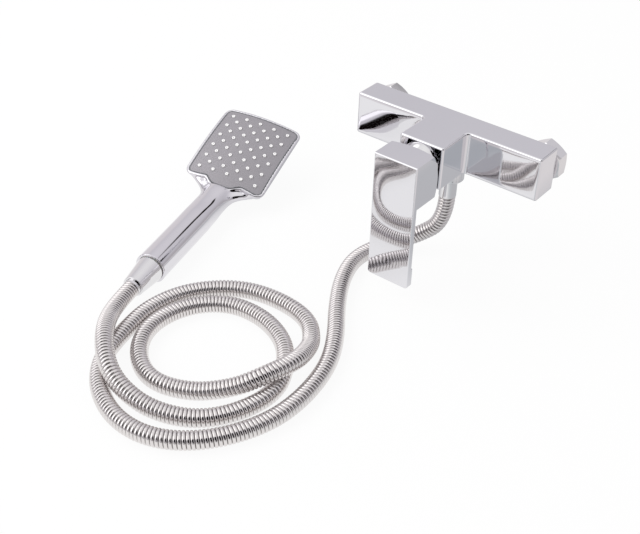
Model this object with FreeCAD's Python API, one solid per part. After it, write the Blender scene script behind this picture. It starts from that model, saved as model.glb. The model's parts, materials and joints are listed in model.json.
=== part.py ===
import FreeCAD, Part
import math
import os

# Wall shower mixer: body, lever, cartridge, hose and hand shower.
# Frame: X runs along the bar to the right, Y points to the wall, Z is up.
# The origin is midway between the two inlets, in the plane where the union nuts meet the wall fittings.

V = FreeCAD.Vector

# Body, mm
inlet_spacing = 150.0
bar_beyond_inlet = 12.65
bar_height = 37.8
bar_depth = 26.6
bar_standoff = 14.0
boss_width = 41.2
boss_depth = 35.3
body_edge_radius = 2.0
body_rim_radius = 1.8
boss_root_radius = 3.5
gallery_radius = 5.0
gallery_height = 4.5
gallery_web = 5.0
gallery_end_wall = 4.0
port_radius = 2.4
port_offset = 6.2
outlet_setback = 12.0
outlet_bore_radius = 4.5

# Inlet unions, mm
inlet_thread_radius = 12.06
nut_across_flats = 30.0
nut_length = 12.6
nut_shoulder = 2.6
thread_relief = 0.35
hexagon_chamfer = 0.6
nipple_radius = 9.6
nipple_bore_radius = 7.0
nipple_sunk = 11.0
nipple_flange_radius = 11.7
nipple_flange = 2.0
washer_thickness = 2.2
filter_thickness = 0.8
filter_ledge = 0.8
filter_hole_radius = 0.7
filter_hole_pitch = 2.2
filter_rim = 0.6

# Cartridge, mm
chamber_depth = 30.0
cartridge_radius = 12.5
cartridge_wall = 1.6
base_height = 5.2
seal_height = 1.6
seal_radius = 3.9
seal_squeeze = 0.4
fixed_disc_height = 4.0
fixed_disc_radius = 10.0
moving_disc_height = 3.5
moving_disc_radius = 7.6
mixing_hollow_width = 6.0
mixing_hollow_height = 4.4
mixing_hollow_corner = 2.0
mixing_hollow_depth = 2.1
mixing_hollow_drop = 3.4
carrier_height = 5.0
carrier_radius = 8.6
carrier_half_width = 7.2
ball_socket_corner = 2.3
ball_socket_play = 0.5
rotor_radius = 7.5
rotor_flange_radius = 10.6
rotor_flange = 1.3
rotor_proud = 0.6
rotor_lug_half_width = 4.0
rotor_lug_short = 1.0
rotor_slot_swing = 2.4
housing_shoulder = 2.0
housing_neck_radius = 9.3
housing_neck = 6.6
ring_nut_radius = 14.0
ring_nut_height = 5.6
ring_nut_bore_radius = 9.6
key_notches = 6
key_notch_half_width = 1.2
key_notch_depth = 1.6
key_notch_outer_wall = 1.0
key_notch_inner_wall = 2.4
pivot_below_boss_face = 3.9
stem_arm = 9.0
stem_ball_radius = 2.5
stem_shank = 5.4
stem_square = 7.0
stem_reach = 30.5
stem_rest_tilt = 10.0
stem_pin_radius = 1.5
stem_pin_sunk = 0.3
stem_boss_radius = 3.4
stem_square_start = 5.6
stem_shank_height = 4.86
stem_chamfer = 0.8
collar_sphere_radius = 17.5
collar_wall = 1.5
collar_mouth_radius = 9.3
collar_skirt_depth = 2.4
collar_foot = 1.2
collar_foot_inset = 0.4

# Lever, mm
lever_width = 39.9
lever_front = 97.0
lever_top = 16.8
lever_block_height = 39.0
lever_drop = 97.4
tongue_thickness = 4.4
tongue_lip_thickness = 6.0
tongue_lip_length = 18.0
tongue_corner_radius = 3.0
lever_edge_radius = 1.2
cavity_corner_radius = 2.0
block_wall = 2.7
block_front_wall = 5.0
block_rear_radius = 46.0
block_rear_plan_radius = 70.0
block_rear_centre_drop = 9.0
block_rear_gap = 0.4
socket_radius = 7.2
socket_length = 15.5
socket_lift = 1.2
socket_web_wall = 1.0
grub_radius = 2.0
grub_length = 7.0
grub_key_radius = 1.15
grub_key_depth = 2.4
grub_tip = 0.45
cap_radius = 3.6
cap_height = 1.6
cap_proud = 0.3

# Shower outlet, mm
outlet_thread_radius = 10.4
outlet_thread = 10.0
outlet_collar_radius = 12.2
outlet_collar = 2.2
outlet_shank_radius = 9.0
outlet_shank = 8.0
outlet_throat = 2.0
outlet_thread_chamfer = 0.8
outlet_nipple_bore_radius = 6.5
check_cage_wall = 1.1
check_cage_height = 9.0
check_seat_radius = 3.4
check_seat = 1.4
check_cage_sunk = 0.8
check_windows = 4
check_window_radius = 1.25
check_window_circle = 3.2
check_stem_short = 0.2
check_poppet_radius = 4.3
check_poppet = 1.3
check_stem_radius = 1.2
check_web = 1.4
check_spring_radius = 2.4
check_spring_wire = 0.25
check_spring_turns = 4

# Hose, mm
hose_radius = 7.2
hose_bore_radius = 4.6
hose_ribs = 200
hose_rib_depth = 0.7
hose_plain_end = 14.4
rib_crest_start = 0.06
rib_crest_end = 0.56
rib_valley_start = 0.68
rib_valley_end = 0.94
hose_nut_radius = 12.5
hose_nut_floor = 2.4
hose_nut_gap = 0.5
hose_nut_chamfer = 0.7
hose_nut_grooves = 24
hose_nut_groove_radius = 0.5
hose_nut_groove_centre = 0.2
hose_nut_groove_end = 2.2
hose_washer = 2.0
hose_washer_bore_radius = 5.4
ferrule_flange_radius = 9.6
ferrule_flange = 1.5
ferrule_radius = 7.5
hose_start_beyond_cone = 3.5
hose_straight_run = 27.0
hose_top = -54.0
floor_level = -116.0
cone_length = 27.0
cone_large_radius = 12.1
cone_small_radius = 9.0
cone_gap = 1.0
cone_edge_radius = 0.5

# Hand shower, mm
handset_end = (-165.22, -219.73)
handset_heading = 15.25
handset_roll = 7.5
handle_radius = 13.9
face_width = 80.0
face_length = 91.5
face_corner_radius = 8.0
face_distance = 170.4
face_rise = 30.2
face_tilt = 16.2
face_bulge = 5.5
face_bulge_shape = ((15.0, 0.14), (10.0, 0.82), (0.0, 1.0))
face_crown_across = 181.0
face_crown_along = 324.0
head_thickness = 14.0
head_straight_part = 0.6
head_back_inset = 3.5
rim_width = 2.9
faceplate_thickness = 2.0
faceplate_sunk = 0.6
chamber_depth_handset = 8.2
chamber_floor = 1.6
chamber_wall = 1.85
gasket_width = 1.5
face_corner_least = 1.5
nozzle_rows = 6
nozzles_per_row = 5
nozzle_pitch_across = 14.38
nozzle_pitch_along = 13.95
nozzle_radius = 1.7
nozzle_hole_radius = 1.9
nozzle_proud = 0.9
nozzle_taper = 0.94
nozzle_bore_radius = 0.45
mat_thickness = 0.9
connector_length = 26.0
connector_proud = 7.5
connector_thread_radius = 10.4
limiter_thickness = 2.0
limiter_hole_radius = 0.6
limiter_holes = 6
limiter_circle = 3.2
limiter_sunk = 1.0
water_tube_radius = 5.0
water_tube_wall = 1.2
tube_in_connector = 8.0
tube_before_face = 65.0
handle_hollow = 70.0
inlet_radius = 3.8
inlet_run_before_face = 36.0
inlet_v = -38.0
inlet_sink = 8.0
screw_radius = 1.2
screw_head_radius = 2.3
screw_head = 1.4
screw_length = 4.3
screw_post = 1.0
screw_post_radius = 3.6
screw_inset = 16.0

# Sections of the handle, which spreads into thin wings under the head, and of the round ridge that runs on
# inside it: distance before the face's centre, then width, depth below and height above the axis and corner
# radius, all four as parts of the handle's radius. The first section holds back to the rear end.
handle_shape = (
    (116.0, 1.0, 1.0, 1.0, 0.995),
    (90.0, 0.985, 0.97, 0.99, 0.92),
    (76.0, 0.965, 0.9, 0.96, 0.84),
    (64.0, 0.965, 0.66, 0.86, 0.7),
    (55.0, 1.04, 0.34, 0.72, 0.48),
    (49.0, 1.3, 0.0, 0.68, 0.32),
    (43.0, 1.94, -0.3, 0.74, 0.2),
    (36.0, 2.64, -0.55, 0.86, 0.15),
    (28.0, 2.85, -0.78, 1.05, 0.12),
)
ridge_shape = (
    (86.0, 0.95, 0.93, 0.95, 0.93),
    (74.0, 0.945, 0.9, 0.97, 0.89),
    (66.0, 0.94, 0.86, 0.98, 0.87),
    (54.0, 0.93, 0.74, 1.02, 0.8),
    (44.0, 0.91, 0.58, 1.05, 0.7),
    (34.0, 0.86, 0.36, 1.12, 0.6),
    (22.0, 0.74, -0.35, 1.3, 0.4),
    (12.0, 0.6, -0.9, 1.2, 0.1),
)
handle_steps = 23

# Clearances, mm
running_gap = 0.08
slip_gap = 0.15
seat_gap = 0.3
thread_gap = 0.06
face_gap = 0.05
press_gap = 0.02

# Share of the shorter run that an arc of the hose's path takes at each end, and the step for measuring it, mm
arc_share = 0.45
gap_step = 2.0

# How far a cut runs past the face it starts from, mm
overrun = 1.0

# Places worked out from the sizes above
bar_back = -bar_standoff
bar_front = bar_back - bar_depth
boss_front = bar_front - boss_depth
bar_length = inlet_spacing + 2 * bar_beyond_inlet
half_height = bar_height / 2.0
half_spacing = inlet_spacing / 2.0
outlet_y = bar_back - outlet_setback
gallery_y = bar_back - bar_depth / 2.0
chamber_floor_y = boss_front + chamber_depth
pivot_y = boss_front + pivot_below_boss_face
lever_front_y = bar_back - lever_front
block_floor_z = lever_top - lever_block_height
seal_top = chamber_floor_y - seal_squeeze
lying = floor_level + hose_radius
heading = V(-math.sin(math.radians(handset_heading)), math.cos(math.radians(handset_heading)), 0.0)
handset_origin = V(handset_end[0], handset_end[1], floor_level + handle_radius)
tube_end = face_distance - tube_before_face
inlet_run_end = face_distance - inlet_run_before_face
hose_end_behind = cone_gap + cone_length + hose_start_beyond_cone

# Route of the hose, from the tap's sleeve to the hand shower's sleeve, mm.
# It lies on a surface that is floor_level below the inlets' axis, and passes over itself twice.
hose_route = [
    (0.0, outlet_y, hose_top),
    (0.0, outlet_y, hose_top - hose_straight_run),
    (-20.0, -35.0, -100.0),
    (-42.0, -57.0, lying),
    (-49.0, -88.0, lying),
    (-39.0, -120.0, lying),
    (-20.0, -152.0, lying),
    (6.0, -187.0, lying),
    (21.5, -218.0, lying),
    (28.5, -258.0, lying),
    (25.0, -294.0, lying),
    (6.0, -331.0, lying),
    (-24.0, -355.0, lying),
    (-60.0, -359.0, lying),
    (-95.0, -344.0, lying),
    (-118.0, -319.0, lying),
    (-128.0, -287.0, lying),
    (-135.0, -250.0, lying),
    (-125.0, -213.0, lying),
    (-96.0, -184.0, lying),
    (-60.0, -176.0, lying),
    (-26.0, -181.0, lying),
    (-7.0, -200.0, lying),
    (3.0, -222.0, lying + 7.5),
    (9.0, -244.0, lying + 15.5),
    (1.0, -271.0, lying + 15.5),
    (-13.0, -286.0, lying + 7.0),
    (-39.0, -304.0, lying),
    (-72.0, -314.0, lying),
    (-102.0, -298.0, lying),
    (-119.0, -268.0, lying),
    (-114.0, -232.0, lying),
    (-90.0, -206.0, lying),
    (-57.0, -202.0, lying),
    (-26.0, -213.0, lying),
    (-6.0, -233.0, lying),
    (9.0, -262.0, lying),
    (3.0, -296.0, lying),
    (-16.0, -323.0, lying),
    (-48.0, -337.0, lying + 1.5),
    (-78.0, -338.0, lying + 8.0),
    (-100.0, -330.0, lying + 15.5),
    (-126.0, -307.0, lying + 17.0),
    tuple(handset_origin - heading * (hose_end_behind + hose_straight_run)),
    tuple(handset_origin - heading * hose_end_behind),
]


def cylinder(radius, start, direction, length):
    """A cylinder from the point start along direction."""
    return Part.makeCylinder(radius, length, V(*start), V(*direction))


def tube(outer, inner, start, direction, length):
    """A round sleeve from the point start along direction."""
    return cylinder(outer, start, direction, length).cut(cylinder(inner, start, direction, length))


def block(x, y, z):
    """A box between pairs of limits."""
    return Part.makeBox(x[1] - x[0], y[1] - y[0], z[1] - z[0], V(x[0], y[0], z[0]))


def fuse(*shapes):
    """One solid from several that touch or overlap."""
    return shapes[0].multiFuse(list(shapes[1:])).removeSplitter()


def turned(profile, origin, axis):
    """A closed outline of points turned right round an axis."""
    wire = Part.makePolygon([V(*p) for p in profile + profile[:1]])
    return Part.Face(wire).revolve(V(*origin), V(*axis), 360)


def rounded_outline(width, height, radius):
    """A closed wire: a rectangle in the XY plane with round corners, as four lines and four arcs."""
    inner_w = width / 2.0 - radius
    inner_h = height / 2.0 - radius
    corners = [(1, 1, 0.0), (-1, 1, 90.0), (-1, -1, 180.0), (1, -1, 270.0)]
    points = []
    for sx, sy, start in corners:
        arc_points = []
        for step in (0.0, 45.0, 90.0):
            angle = math.radians(start + step)
            x = sx * inner_w + radius * math.cos(angle)
            y = sy * inner_h + radius * math.sin(angle)
            arc_points.append(V(x, y, 0))
        points.append(arc_points)
    edges = []
    for i, arc_points in enumerate(points):
        edges.append(Part.Arc(*arc_points).toShape())
        edges.append(Part.LineSegment(arc_points[2], points[(i + 1) % 4][0]).toShape())
    return Part.Wire(edges)


def rounded_plate(width, height, radius, thickness):
    """A flat plate with round corners, standing on the XY plane."""
    return Part.Face(rounded_outline(width, height, radius)).extrude(V(0, 0, thickness))


def hexagon(across_flats, start, length, turn):
    """A hexagonal bar along Y from its start, with its end corners chamfered at 30 degrees."""
    corner = across_flats / math.sqrt(3.0)
    x, low, z = start
    high = low + length
    points = []
    for i in range(6):
        angle = math.radians(60.0 * i + turn)
        points.append(V(x + corner * math.cos(angle), low, z + corner * math.sin(angle)))
    bar = Part.Face(Part.makePolygon(points + points[:1])).extrude(V(0, length, 0))
    slope = corner - across_flats / 2.0 + hexagon_chamfer
    drop = slope * math.tan(math.radians(30.0))
    profile = [
        (x, low, z),
        (x + corner - slope, low, z),
        (x + corner, low + drop, z),
        (x + corner, high - drop, z),
        (x + corner - slope, high, z),
        (x, high, z),
    ]
    return bar.common(turned(profile, (x, 0, z), (0, 1, 0)))


def edges_where(shape, test):
    """The edges of a shape whose ends and middle all pass a test."""
    chosen = []
    for edge in shape.Edges:
        middle = edge.valueAt((edge.FirstParameter + edge.LastParameter) / 2.0)
        if all(test(p) for p in [v.Point for v in edge.Vertexes] + [middle]):
            chosen.append(edge)
    return chosen


def round_edges(shape):
    """The circular edges of a turned shape."""
    return [edge for edge in shape.Edges if edge.Curve.TypeId == "Part::GeomCircle"]


def near(a, b):
    """Whether two places are the same."""
    return abs(a - b) < 1e-6


def body_plan():
    """The T outline of the body from above, with its outer corners and inner roots rounded."""
    r = body_edge_radius
    hx = bar_length / 2.0
    bx = boss_width / 2.0
    right = [
        (V(hx, bar_back, 0), r, (-1, -1)),
        (V(hx, bar_front, 0), r, (-1, 1)),
        (V(bx, bar_front, 0), boss_root_radius, (1, -1)),
        (V(bx, boss_front, 0), r, (-1, 1)),
    ]
    left = [(V(-p.x, p.y, 0), radius, (-way[0], way[1])) for p, radius, way in reversed(right)]
    arcs = []
    for i, (corner, radius, way) in enumerate(right + left):
        centre = corner + V(way[0], way[1], 0) * radius
        middle = centre - V(way[0], way[1], 0) * (radius * math.sqrt(0.5))
        ends = [centre - V(0, way[1] * radius, 0), centre - V(way[0] * radius, 0, 0)]
        start, end = ends if i % 2 == 0 else reversed(ends)
        arcs.append((start, middle, end))
    edges = []
    for i, (start, middle, end) in enumerate(arcs):
        edges.append(Part.Arc(start, middle, end).toShape())
        edges.append(Part.LineSegment(end, arcs[(i + 1) % len(arcs)][0]).toShape())
    return Part.Wire(edges)


def water_ways(side):
    """Inlet hole, its pocket, the gallery along the bar, and the port forward to the chamber's floor."""
    x = side * half_spacing
    port_x, port_z = side * port_offset, port_offset / 2.0
    port_run = gallery_y - chamber_floor_y + overrun
    return [
        cylinder(nipple_radius + thread_gap, (x, bar_back, 0), (0, -1, 0), nipple_sunk),
        cylinder(nipple_bore_radius, (x, bar_back, 0), (0, -1, 0), bar_depth - gallery_end_wall),
        cylinder(gallery_radius, (x, gallery_y, gallery_height), (-side, 0, 0), half_spacing - gallery_web),
        cylinder(port_radius, (port_x, chamber_floor_y - overrun, port_z), (0, 1, 0), port_run),
    ]


def make_tap_body(levels):
    """Cast body: bar and boss in one T, its galleries, the cartridge's chamber and the outlet."""
    body = Part.Face(body_plan()).extrude(V(0, 0, bar_height))
    body.translate(V(0, 0, -half_height))
    rim = edges_where(body, lambda p: near(abs(p.z), half_height))
    body = body.makeFillet(body_rim_radius, rim)
    nut_depth = levels["shoulder_front"] - boss_front + seat_gap
    back_run = outlet_y - chamber_floor_y + overrun
    bore_height = half_height - port_offset + port_radius
    outlet_mouth = (0, outlet_y, -half_height)
    cuts = water_ways(-1) + water_ways(1) + [
        cylinder(cartridge_radius + slip_gap, (0, boss_front, 0), (0, 1, 0), chamber_depth),
        cylinder(ring_nut_radius + thread_gap, (0, boss_front, 0), (0, 1, 0), nut_depth),
        cylinder(outlet_shank_radius + thread_gap, outlet_mouth, (0, 0, 1), outlet_shank + seat_gap),
        cylinder(outlet_bore_radius, outlet_mouth, (0, 0, 1), bore_height),
        cylinder(port_radius, (0, chamber_floor_y - overrun, -port_offset), (0, 1, 0), back_run),
    ]
    for cut in cuts:
        body = body.cut(cut)
    return body


def nipple_flange_front():
    """Y of the nipple collar's front face, just behind the union nut's shoulder."""
    return -nut_length + nut_shoulder + face_gap


def make_inlet_nipple(side):
    """Nipple: a threaded shank in the body and a collar at the rear that holds the union nut."""
    x = side * half_spacing
    front = bar_back - nipple_sunk + seat_gap
    collar = nipple_flange_front()
    length = collar + nipple_flange - front
    shank = cylinder(nipple_radius, (x, front, 0), (0, 1, 0), length)
    flange = cylinder(nipple_flange_radius, (x, collar, 0), (0, 1, 0), nipple_flange)
    return fuse(shank, flange).cut(cylinder(nipple_bore_radius, (x, front, 0), (0, 1, 0), length))


def make_union_nut(side):
    """Hexagon union nut: threaded from the wall's side, with a shoulder behind the nipple's collar."""
    x = side * half_spacing
    nut = hexagon(nut_across_flats, (x, -nut_length, 0), nut_length, 30.0)
    neck = cylinder(nipple_radius + running_gap, (x, -nut_length, 0), (0, 1, 0), nut_length)
    thread = cylinder(inlet_thread_radius, (x, washer_face(), 0), (0, 1, 0), nut_length)
    hollow = -nut_length + nut_shoulder
    relief = cylinder(inlet_thread_radius + thread_relief, (x, hollow, 0), (0, 1, 0), washer_face() - hollow)
    return nut.cut(neck).cut(thread).cut(relief)


def nipple_face():
    """The plane of the nipple's rear face, where the washer sits."""
    return nipple_flange_front() + nipple_flange


def washer_face():
    """The plane of the inlet washer's rear face, as deep as a mating thread goes."""
    return nipple_face() + washer_thickness


def make_inlet_washer(side):
    """Flat rubber washer on the nipple's collar, with the filter in its hole."""
    start = (side * half_spacing, nipple_face(), 0)
    return tube(nipple_flange_radius, nipple_bore_radius + filter_ledge, start, (0, 1, 0), washer_thickness)


def make_inlet_filter(side):
    """Filter disc in the washer: a plate with a round field of small holes."""
    x = side * half_spacing
    radius = nipple_bore_radius + filter_ledge - slip_gap
    start = nipple_face() + face_gap
    plate = cylinder(radius, (x, start, 0), (0, 1, 0), filter_thickness)
    holes = []
    count = int(radius / filter_hole_pitch)
    for row in range(-count, count + 1):
        z = row * filter_hole_pitch * math.sqrt(3.0) / 2.0
        shift = filter_hole_pitch / 2.0 if row % 2 else 0.0
        for column in range(-count, count + 1):
            dx = column * filter_hole_pitch + shift
            if math.hypot(dx, z) < radius - filter_hole_radius - filter_rim:
                holes.append(cylinder(filter_hole_radius, (x + dx, start, z), (0, 1, 0), filter_thickness))
    return plate.cut(Part.makeCompound(holes))


def cartridge_levels():
    """Y of each level of the cartridge, from the chamber's floor to the rotor's front end."""
    levels = {"base_back": seal_top}
    levels["base_front"] = levels["base_back"] - base_height
    levels["fixed_front"] = levels["base_front"] - fixed_disc_height
    levels["moving_front"] = levels["fixed_front"] - face_gap - moving_disc_height
    levels["carrier_front"] = levels["moving_front"] - carrier_height
    levels["flange_back"] = levels["carrier_front"] - seat_gap
    levels["flange_front"] = levels["flange_back"] - rotor_flange
    levels["shoulder_back"] = levels["flange_front"] - 2 * face_gap
    levels["shoulder_front"] = levels["shoulder_back"] - housing_shoulder
    levels["neck_front"] = levels["shoulder_front"] - housing_neck
    return levels


def port_places():
    """Centres of the hot, cold and mixed ports across the cartridge's axis."""
    return [(-port_offset, port_offset / 2.0), (port_offset, port_offset / 2.0), (0.0, -port_offset)]


def make_cartridge_base(levels):
    """Base plate with three ports and a seal's seat round each."""
    y = levels["base_back"]
    base = cylinder(cartridge_radius, (0, y, 0), (0, -1, 0), base_height)
    cuts = []
    for x, z in port_places():
        cuts.append(cylinder(port_radius, (x, y, z), (0, -1, 0), base_height))
        cuts.append(cylinder(seal_radius + face_gap, (x, y, z), (0, -1, 0), seal_height - seal_squeeze))
    return base.cut(Part.makeCompound(cuts))


def make_cartridge_seals():
    """Three rubber rings between the base and the chamber's floor."""
    bore = port_radius + slip_gap
    rings = [tube(seal_radius, bore, (x, chamber_floor_y, z), (0, -1, 0), seal_height)
             for x, z in port_places()]
    return Part.makeCompound(rings)


def make_fixed_disc(levels):
    """Ceramic disc with the three ports, on the base."""
    y = levels["base_front"]
    disc = cylinder(fixed_disc_radius, (0, y, 0), (0, -1, 0), fixed_disc_height)
    ports = [cylinder(port_radius, (x, y, z), (0, -1, 0), fixed_disc_height) for x, z in port_places()]
    return disc.cut(Part.makeCompound(ports))


def make_moving_disc(levels):
    """Ceramic disc with a blind mixing hollow on its rear face."""
    y = levels["fixed_front"] - face_gap
    disc = cylinder(moving_disc_radius, (0, y, stem_shift()), (0, -1, 0), moving_disc_height)
    hollow = rounded_plate(mixing_hollow_width, mixing_hollow_height, mixing_hollow_corner,
                           mixing_hollow_depth)
    hollow.rotate(V(0, 0, 0), V(1, 0, 0), 90)
    hollow.translate(V(0, y, stem_shift() - mixing_hollow_drop))
    return disc.cut(hollow)


def stem_shift():
    """How far the carrier stands above the axis while the lever is closed."""
    return stem_arm * math.sin(math.radians(stem_rest_tilt))


def make_disc_carrier(levels):
    """Slide on the moving disc, with flat sides and a socket for the stem's ball."""
    y = levels["moving_front"]
    front = y - carrier_height
    shift = stem_shift()
    carrier = cylinder(carrier_radius, (0, y, shift), (0, -1, 0), carrier_height)
    flats = (-carrier_half_width, carrier_half_width)
    carrier = carrier.common(block(flats, (front, y), (shift - carrier_radius, shift + carrier_radius)))
    ball_y = pivot_y + stem_arm * math.cos(math.radians(stem_rest_tilt))
    depth = ball_y + stem_ball_radius + ball_socket_play - front
    width = max(2 * stem_ball_radius, stem_shank) + 2 * slip_gap
    socket = rounded_plate(width, width + ball_socket_play, ball_socket_corner, depth + overrun)
    socket.rotate(V(0, 0, 0), V(1, 0, 0), -90)
    socket.translate(V(0, front - overrun, shift))
    return carrier.cut(socket)


def make_cartridge_housing(levels):
    """Plastic housing: a cup over discs and rotor, with a neck for the rotor."""
    start = (0, levels["base_front"], 0)
    cup_length = levels["base_front"] - levels["shoulder_front"]
    cup = cylinder(cartridge_radius, start, (0, -1, 0), cup_length)
    neck = cylinder(housing_neck_radius, (0, levels["shoulder_front"], 0), (0, -1, 0), housing_neck)
    hollow_length = levels["base_front"] - levels["shoulder_back"]
    hollow = cylinder(cartridge_radius - cartridge_wall, start, (0, -1, 0), hollow_length)
    bore = cylinder(rotor_radius + running_gap, start, (0, -1, 0), cup_length + housing_neck)
    return fuse(cup, neck).cut(Part.makeCompound([hollow, bore]))


def make_cartridge_rotor(levels):
    """Rotor: a flange with two drive lugs beside the carrier, and a neck slotted for the stem."""
    flange_back = levels["flange_back"]
    flange = cylinder(rotor_flange_radius, (0, flange_back, 0), (0, -1, 0), rotor_flange)
    length = flange_back - levels["neck_front"] + rotor_proud
    neck = cylinder(rotor_radius, (0, flange_back, 0), (0, -1, 0), length)
    lug_end = levels["moving_front"] - rotor_lug_short
    lug_bar = cylinder(rotor_flange_radius, (0, lug_end, 0), (0, -1, 0), lug_end - levels["flange_front"])
    lugs = []
    for side in (-1, 1):
        sides = sorted((side * (carrier_half_width + slip_gap), side * rotor_flange_radius))
        lug = block(sides, (levels["flange_front"], lug_end), (-rotor_lug_half_width, rotor_lug_half_width))
        lugs.append(lug.common(lug_bar))
    slot_x = stem_shank / 2.0 + slip_gap
    slot_z = stem_square / 2.0 + rotor_slot_swing
    slot_y = (flange_back - length - overrun, flange_back + overrun)
    slot = block((-slot_x, slot_x), slot_y, (-slot_z, slot_z))
    pin_hole = cylinder(stem_pin_radius, (-rotor_radius, pivot_y, 0), (1, 0, 0), 2 * rotor_radius)
    return fuse(flange, neck, *lugs).cut(slot).cut(pin_hole)


def make_stem_pin():
    """Pivot pin across the rotor, a little below its sides."""
    half = rotor_radius - stem_pin_sunk
    return cylinder(stem_pin_radius - press_gap, (-half, pivot_y, 0), (1, 0, 0), 2 * half)


def tilt_stem(shape):
    """Turn a piece made along the cartridge's axis to the stem's closed position."""
    shape.rotate(V(0, pivot_y, 0), V(1, 0, 0), stem_rest_tilt)
    return shape


def make_lever_stem():
    """Stem: ball at the inner end, flat shank on the pin, and a square outer end."""
    ball_y = pivot_y + stem_arm
    ball = Part.makeSphere(stem_ball_radius, V(0, ball_y, 0))
    half = stem_shank / 2.0
    tall = stem_shank_height / 2.0
    shank_end = ball_y - math.sqrt(stem_ball_radius ** 2 - tall ** 2) / 2.0
    shank = block((-half, half), (pivot_y - stem_square_start - overrun, shank_end), (-tall, tall))
    shank = shank.common(cylinder(half, (0, pivot_y + stem_boss_radius, 0), (0, 1, 0), stem_arm).fuse(
        block((-half, half), (pivot_y - stem_reach, pivot_y + stem_boss_radius), (-tall, tall))))
    side = stem_square / 2.0
    outer = block((-side, side), (pivot_y - stem_reach, pivot_y - stem_square_start), (-side, side))
    outer = outer.makeChamfer(stem_chamfer, edges_where(outer, lambda p: near(p.y, pivot_y - stem_reach)))
    boss = cylinder(stem_boss_radius, (-half, pivot_y, 0), (1, 0, 0), stem_shank)
    eye = cylinder(stem_pin_radius + thread_gap, (-half, pivot_y, 0), (1, 0, 0), stem_shank)
    return tilt_stem(fuse(ball, shank, boss, outer).cut(eye))


def make_cartridge_nut(levels):
    """Ring nut over the housing's neck, with key notches in its front."""
    start = levels["shoulder_front"] - ring_nut_height
    ring = tube(ring_nut_radius, ring_nut_bore_radius, (0, start, 0), (0, 1, 0), ring_nut_height)
    sides = (-key_notch_half_width, key_notch_half_width)
    heights = (ring_nut_radius - key_notch_inner_wall, ring_nut_radius - key_notch_outer_wall)
    for i in range(key_notches):
        notch = block(sides, (start, start + key_notch_depth), heights)
        notch.rotate(V(0, 0, 0), V(0, 1, 0), 360.0 / key_notches * i)
        ring = ring.cut(notch)
    return ring


def make_dome_collar():
    """Domed collar on the boss's face, a sphere about the lever's pivot, with a threaded skirt."""
    pivot = V(0, pivot_y, 0)
    shell = Part.makeSphere(collar_sphere_radius, pivot)
    shell = shell.cut(Part.makeSphere(collar_sphere_radius - collar_wall, pivot))
    reach = collar_sphere_radius + overrun
    shell = shell.cut(block((-reach, reach), (boss_front, boss_front + 2 * reach), (-reach, reach)))
    shell = shell.cut(cylinder(collar_mouth_radius, (0, boss_front, 0), (0, -1, 0), reach))
    foot_radius = math.sqrt(collar_sphere_radius ** 2 - pivot_below_boss_face ** 2) - collar_foot_inset
    skirt_inner = ring_nut_radius - collar_wall
    foot = tube(foot_radius, skirt_inner, (0, boss_front, 0), (0, -1, 0), collar_foot)
    skirt = tube(ring_nut_radius, skirt_inner, (0, boss_front - collar_foot / 2.0, 0), (0, 1, 0),
                 collar_skirt_depth + collar_foot / 2.0)
    return fuse(shell, foot, skirt)


def rear_form():
    """A round form whose near side is the lever block's rear: curved both across and up and down."""
    ring = block_rear_plan_radius - block_rear_radius
    half = math.sqrt(block_rear_radius ** 2 - ring ** 2)
    centre_y = boss_front - block_rear_gap - block_rear_plan_radius
    low, high = V(0, centre_y, -half), V(0, centre_y, half)
    arc = Part.Arc(low, V(0, centre_y + block_rear_plan_radius, 0), high).toShape()
    face = Part.Face(Part.Wire([arc, Part.LineSegment(high, low).toShape()]))
    form = face.revolve(V(0, centre_y, 0), V(0, 0, 1), 360)
    form.translate(V(0, 0, -block_rear_centre_drop))
    return form


def lever_block():
    """The lever's square block, and the form of its hollow, open to the rear."""
    half = lever_width / 2.0
    outer = block((-half, half), (lever_front_y, boss_front), (block_floor_z, lever_top)).common(rear_form())
    inner = half - block_wall
    top, low = lever_top - block_wall, block_floor_z + block_wall
    cavity = block((-inner, inner), (lever_front_y + block_front_wall, boss_front + overrun), (low, top))
    sides = edges_where(cavity, lambda p: near(abs(p.x), inner) and (near(p.z, low) or near(p.z, top)))
    return outer, cavity.makeFillet(cavity_corner_radius, sides)


def make_lever_handle():
    """Lever: a hollow square block, its hanging tongue, and the socket for the stem."""
    half = lever_width / 2.0
    outer, cavity = lever_block()
    tongue_back = lever_front_y + tongue_thickness
    tongue = block((-half, half), (lever_front_y, tongue_back), (-lever_drop, block_floor_z + block_wall))
    lip_back = lever_front_y + tongue_lip_thickness
    lip = block((-half, half), (lever_front_y, lip_back), (-lever_drop, -lever_drop + tongue_lip_length))
    solid = fuse(outer, tongue, lip)
    corners = edges_where(solid, lambda p: near(p.z, -lever_drop) and near(abs(p.x), half))
    solid = solid.makeFillet(tongue_corner_radius, corners)
    front_rim = edges_where(solid, lambda p: near(p.y, lever_front_y))
    solid = solid.makeFillet(lever_edge_radius, front_rim).cut(cavity)
    front = lever_front_y + block_front_wall
    socket_z = -(pivot_y - front) * math.tan(math.radians(stem_rest_tilt)) + socket_lift
    socket = cylinder(socket_radius, (0, front - socket_web_wall, socket_z), (0, 1, 0),
                      socket_length + socket_web_wall)
    reach = cap_radius + socket_web_wall
    web_floor = block_floor_z + block_wall / 2.0
    web = block((-reach, reach), (screw_y() - reach, screw_y() + reach), (web_floor, socket_z))
    solid = fuse(solid, socket, web)
    side = stem_square / 2.0 + face_gap
    hole_y = (pivot_y - stem_reach - seat_gap, pivot_y - stem_square_start)
    mouth = (0, screw_y(), block_floor_z - overrun)
    cuts = [
        tilt_stem(block((-side, side), hole_y, (-side, side))),
        cylinder(grub_radius + thread_gap, mouth, (0, 0, 1), socket_z - block_floor_z),
        cylinder(cap_radius + press_gap, mouth, (0, 0, 1), cap_height + overrun),
    ]
    for cut in cuts:
        solid = solid.cut(cut)
    return solid


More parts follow.
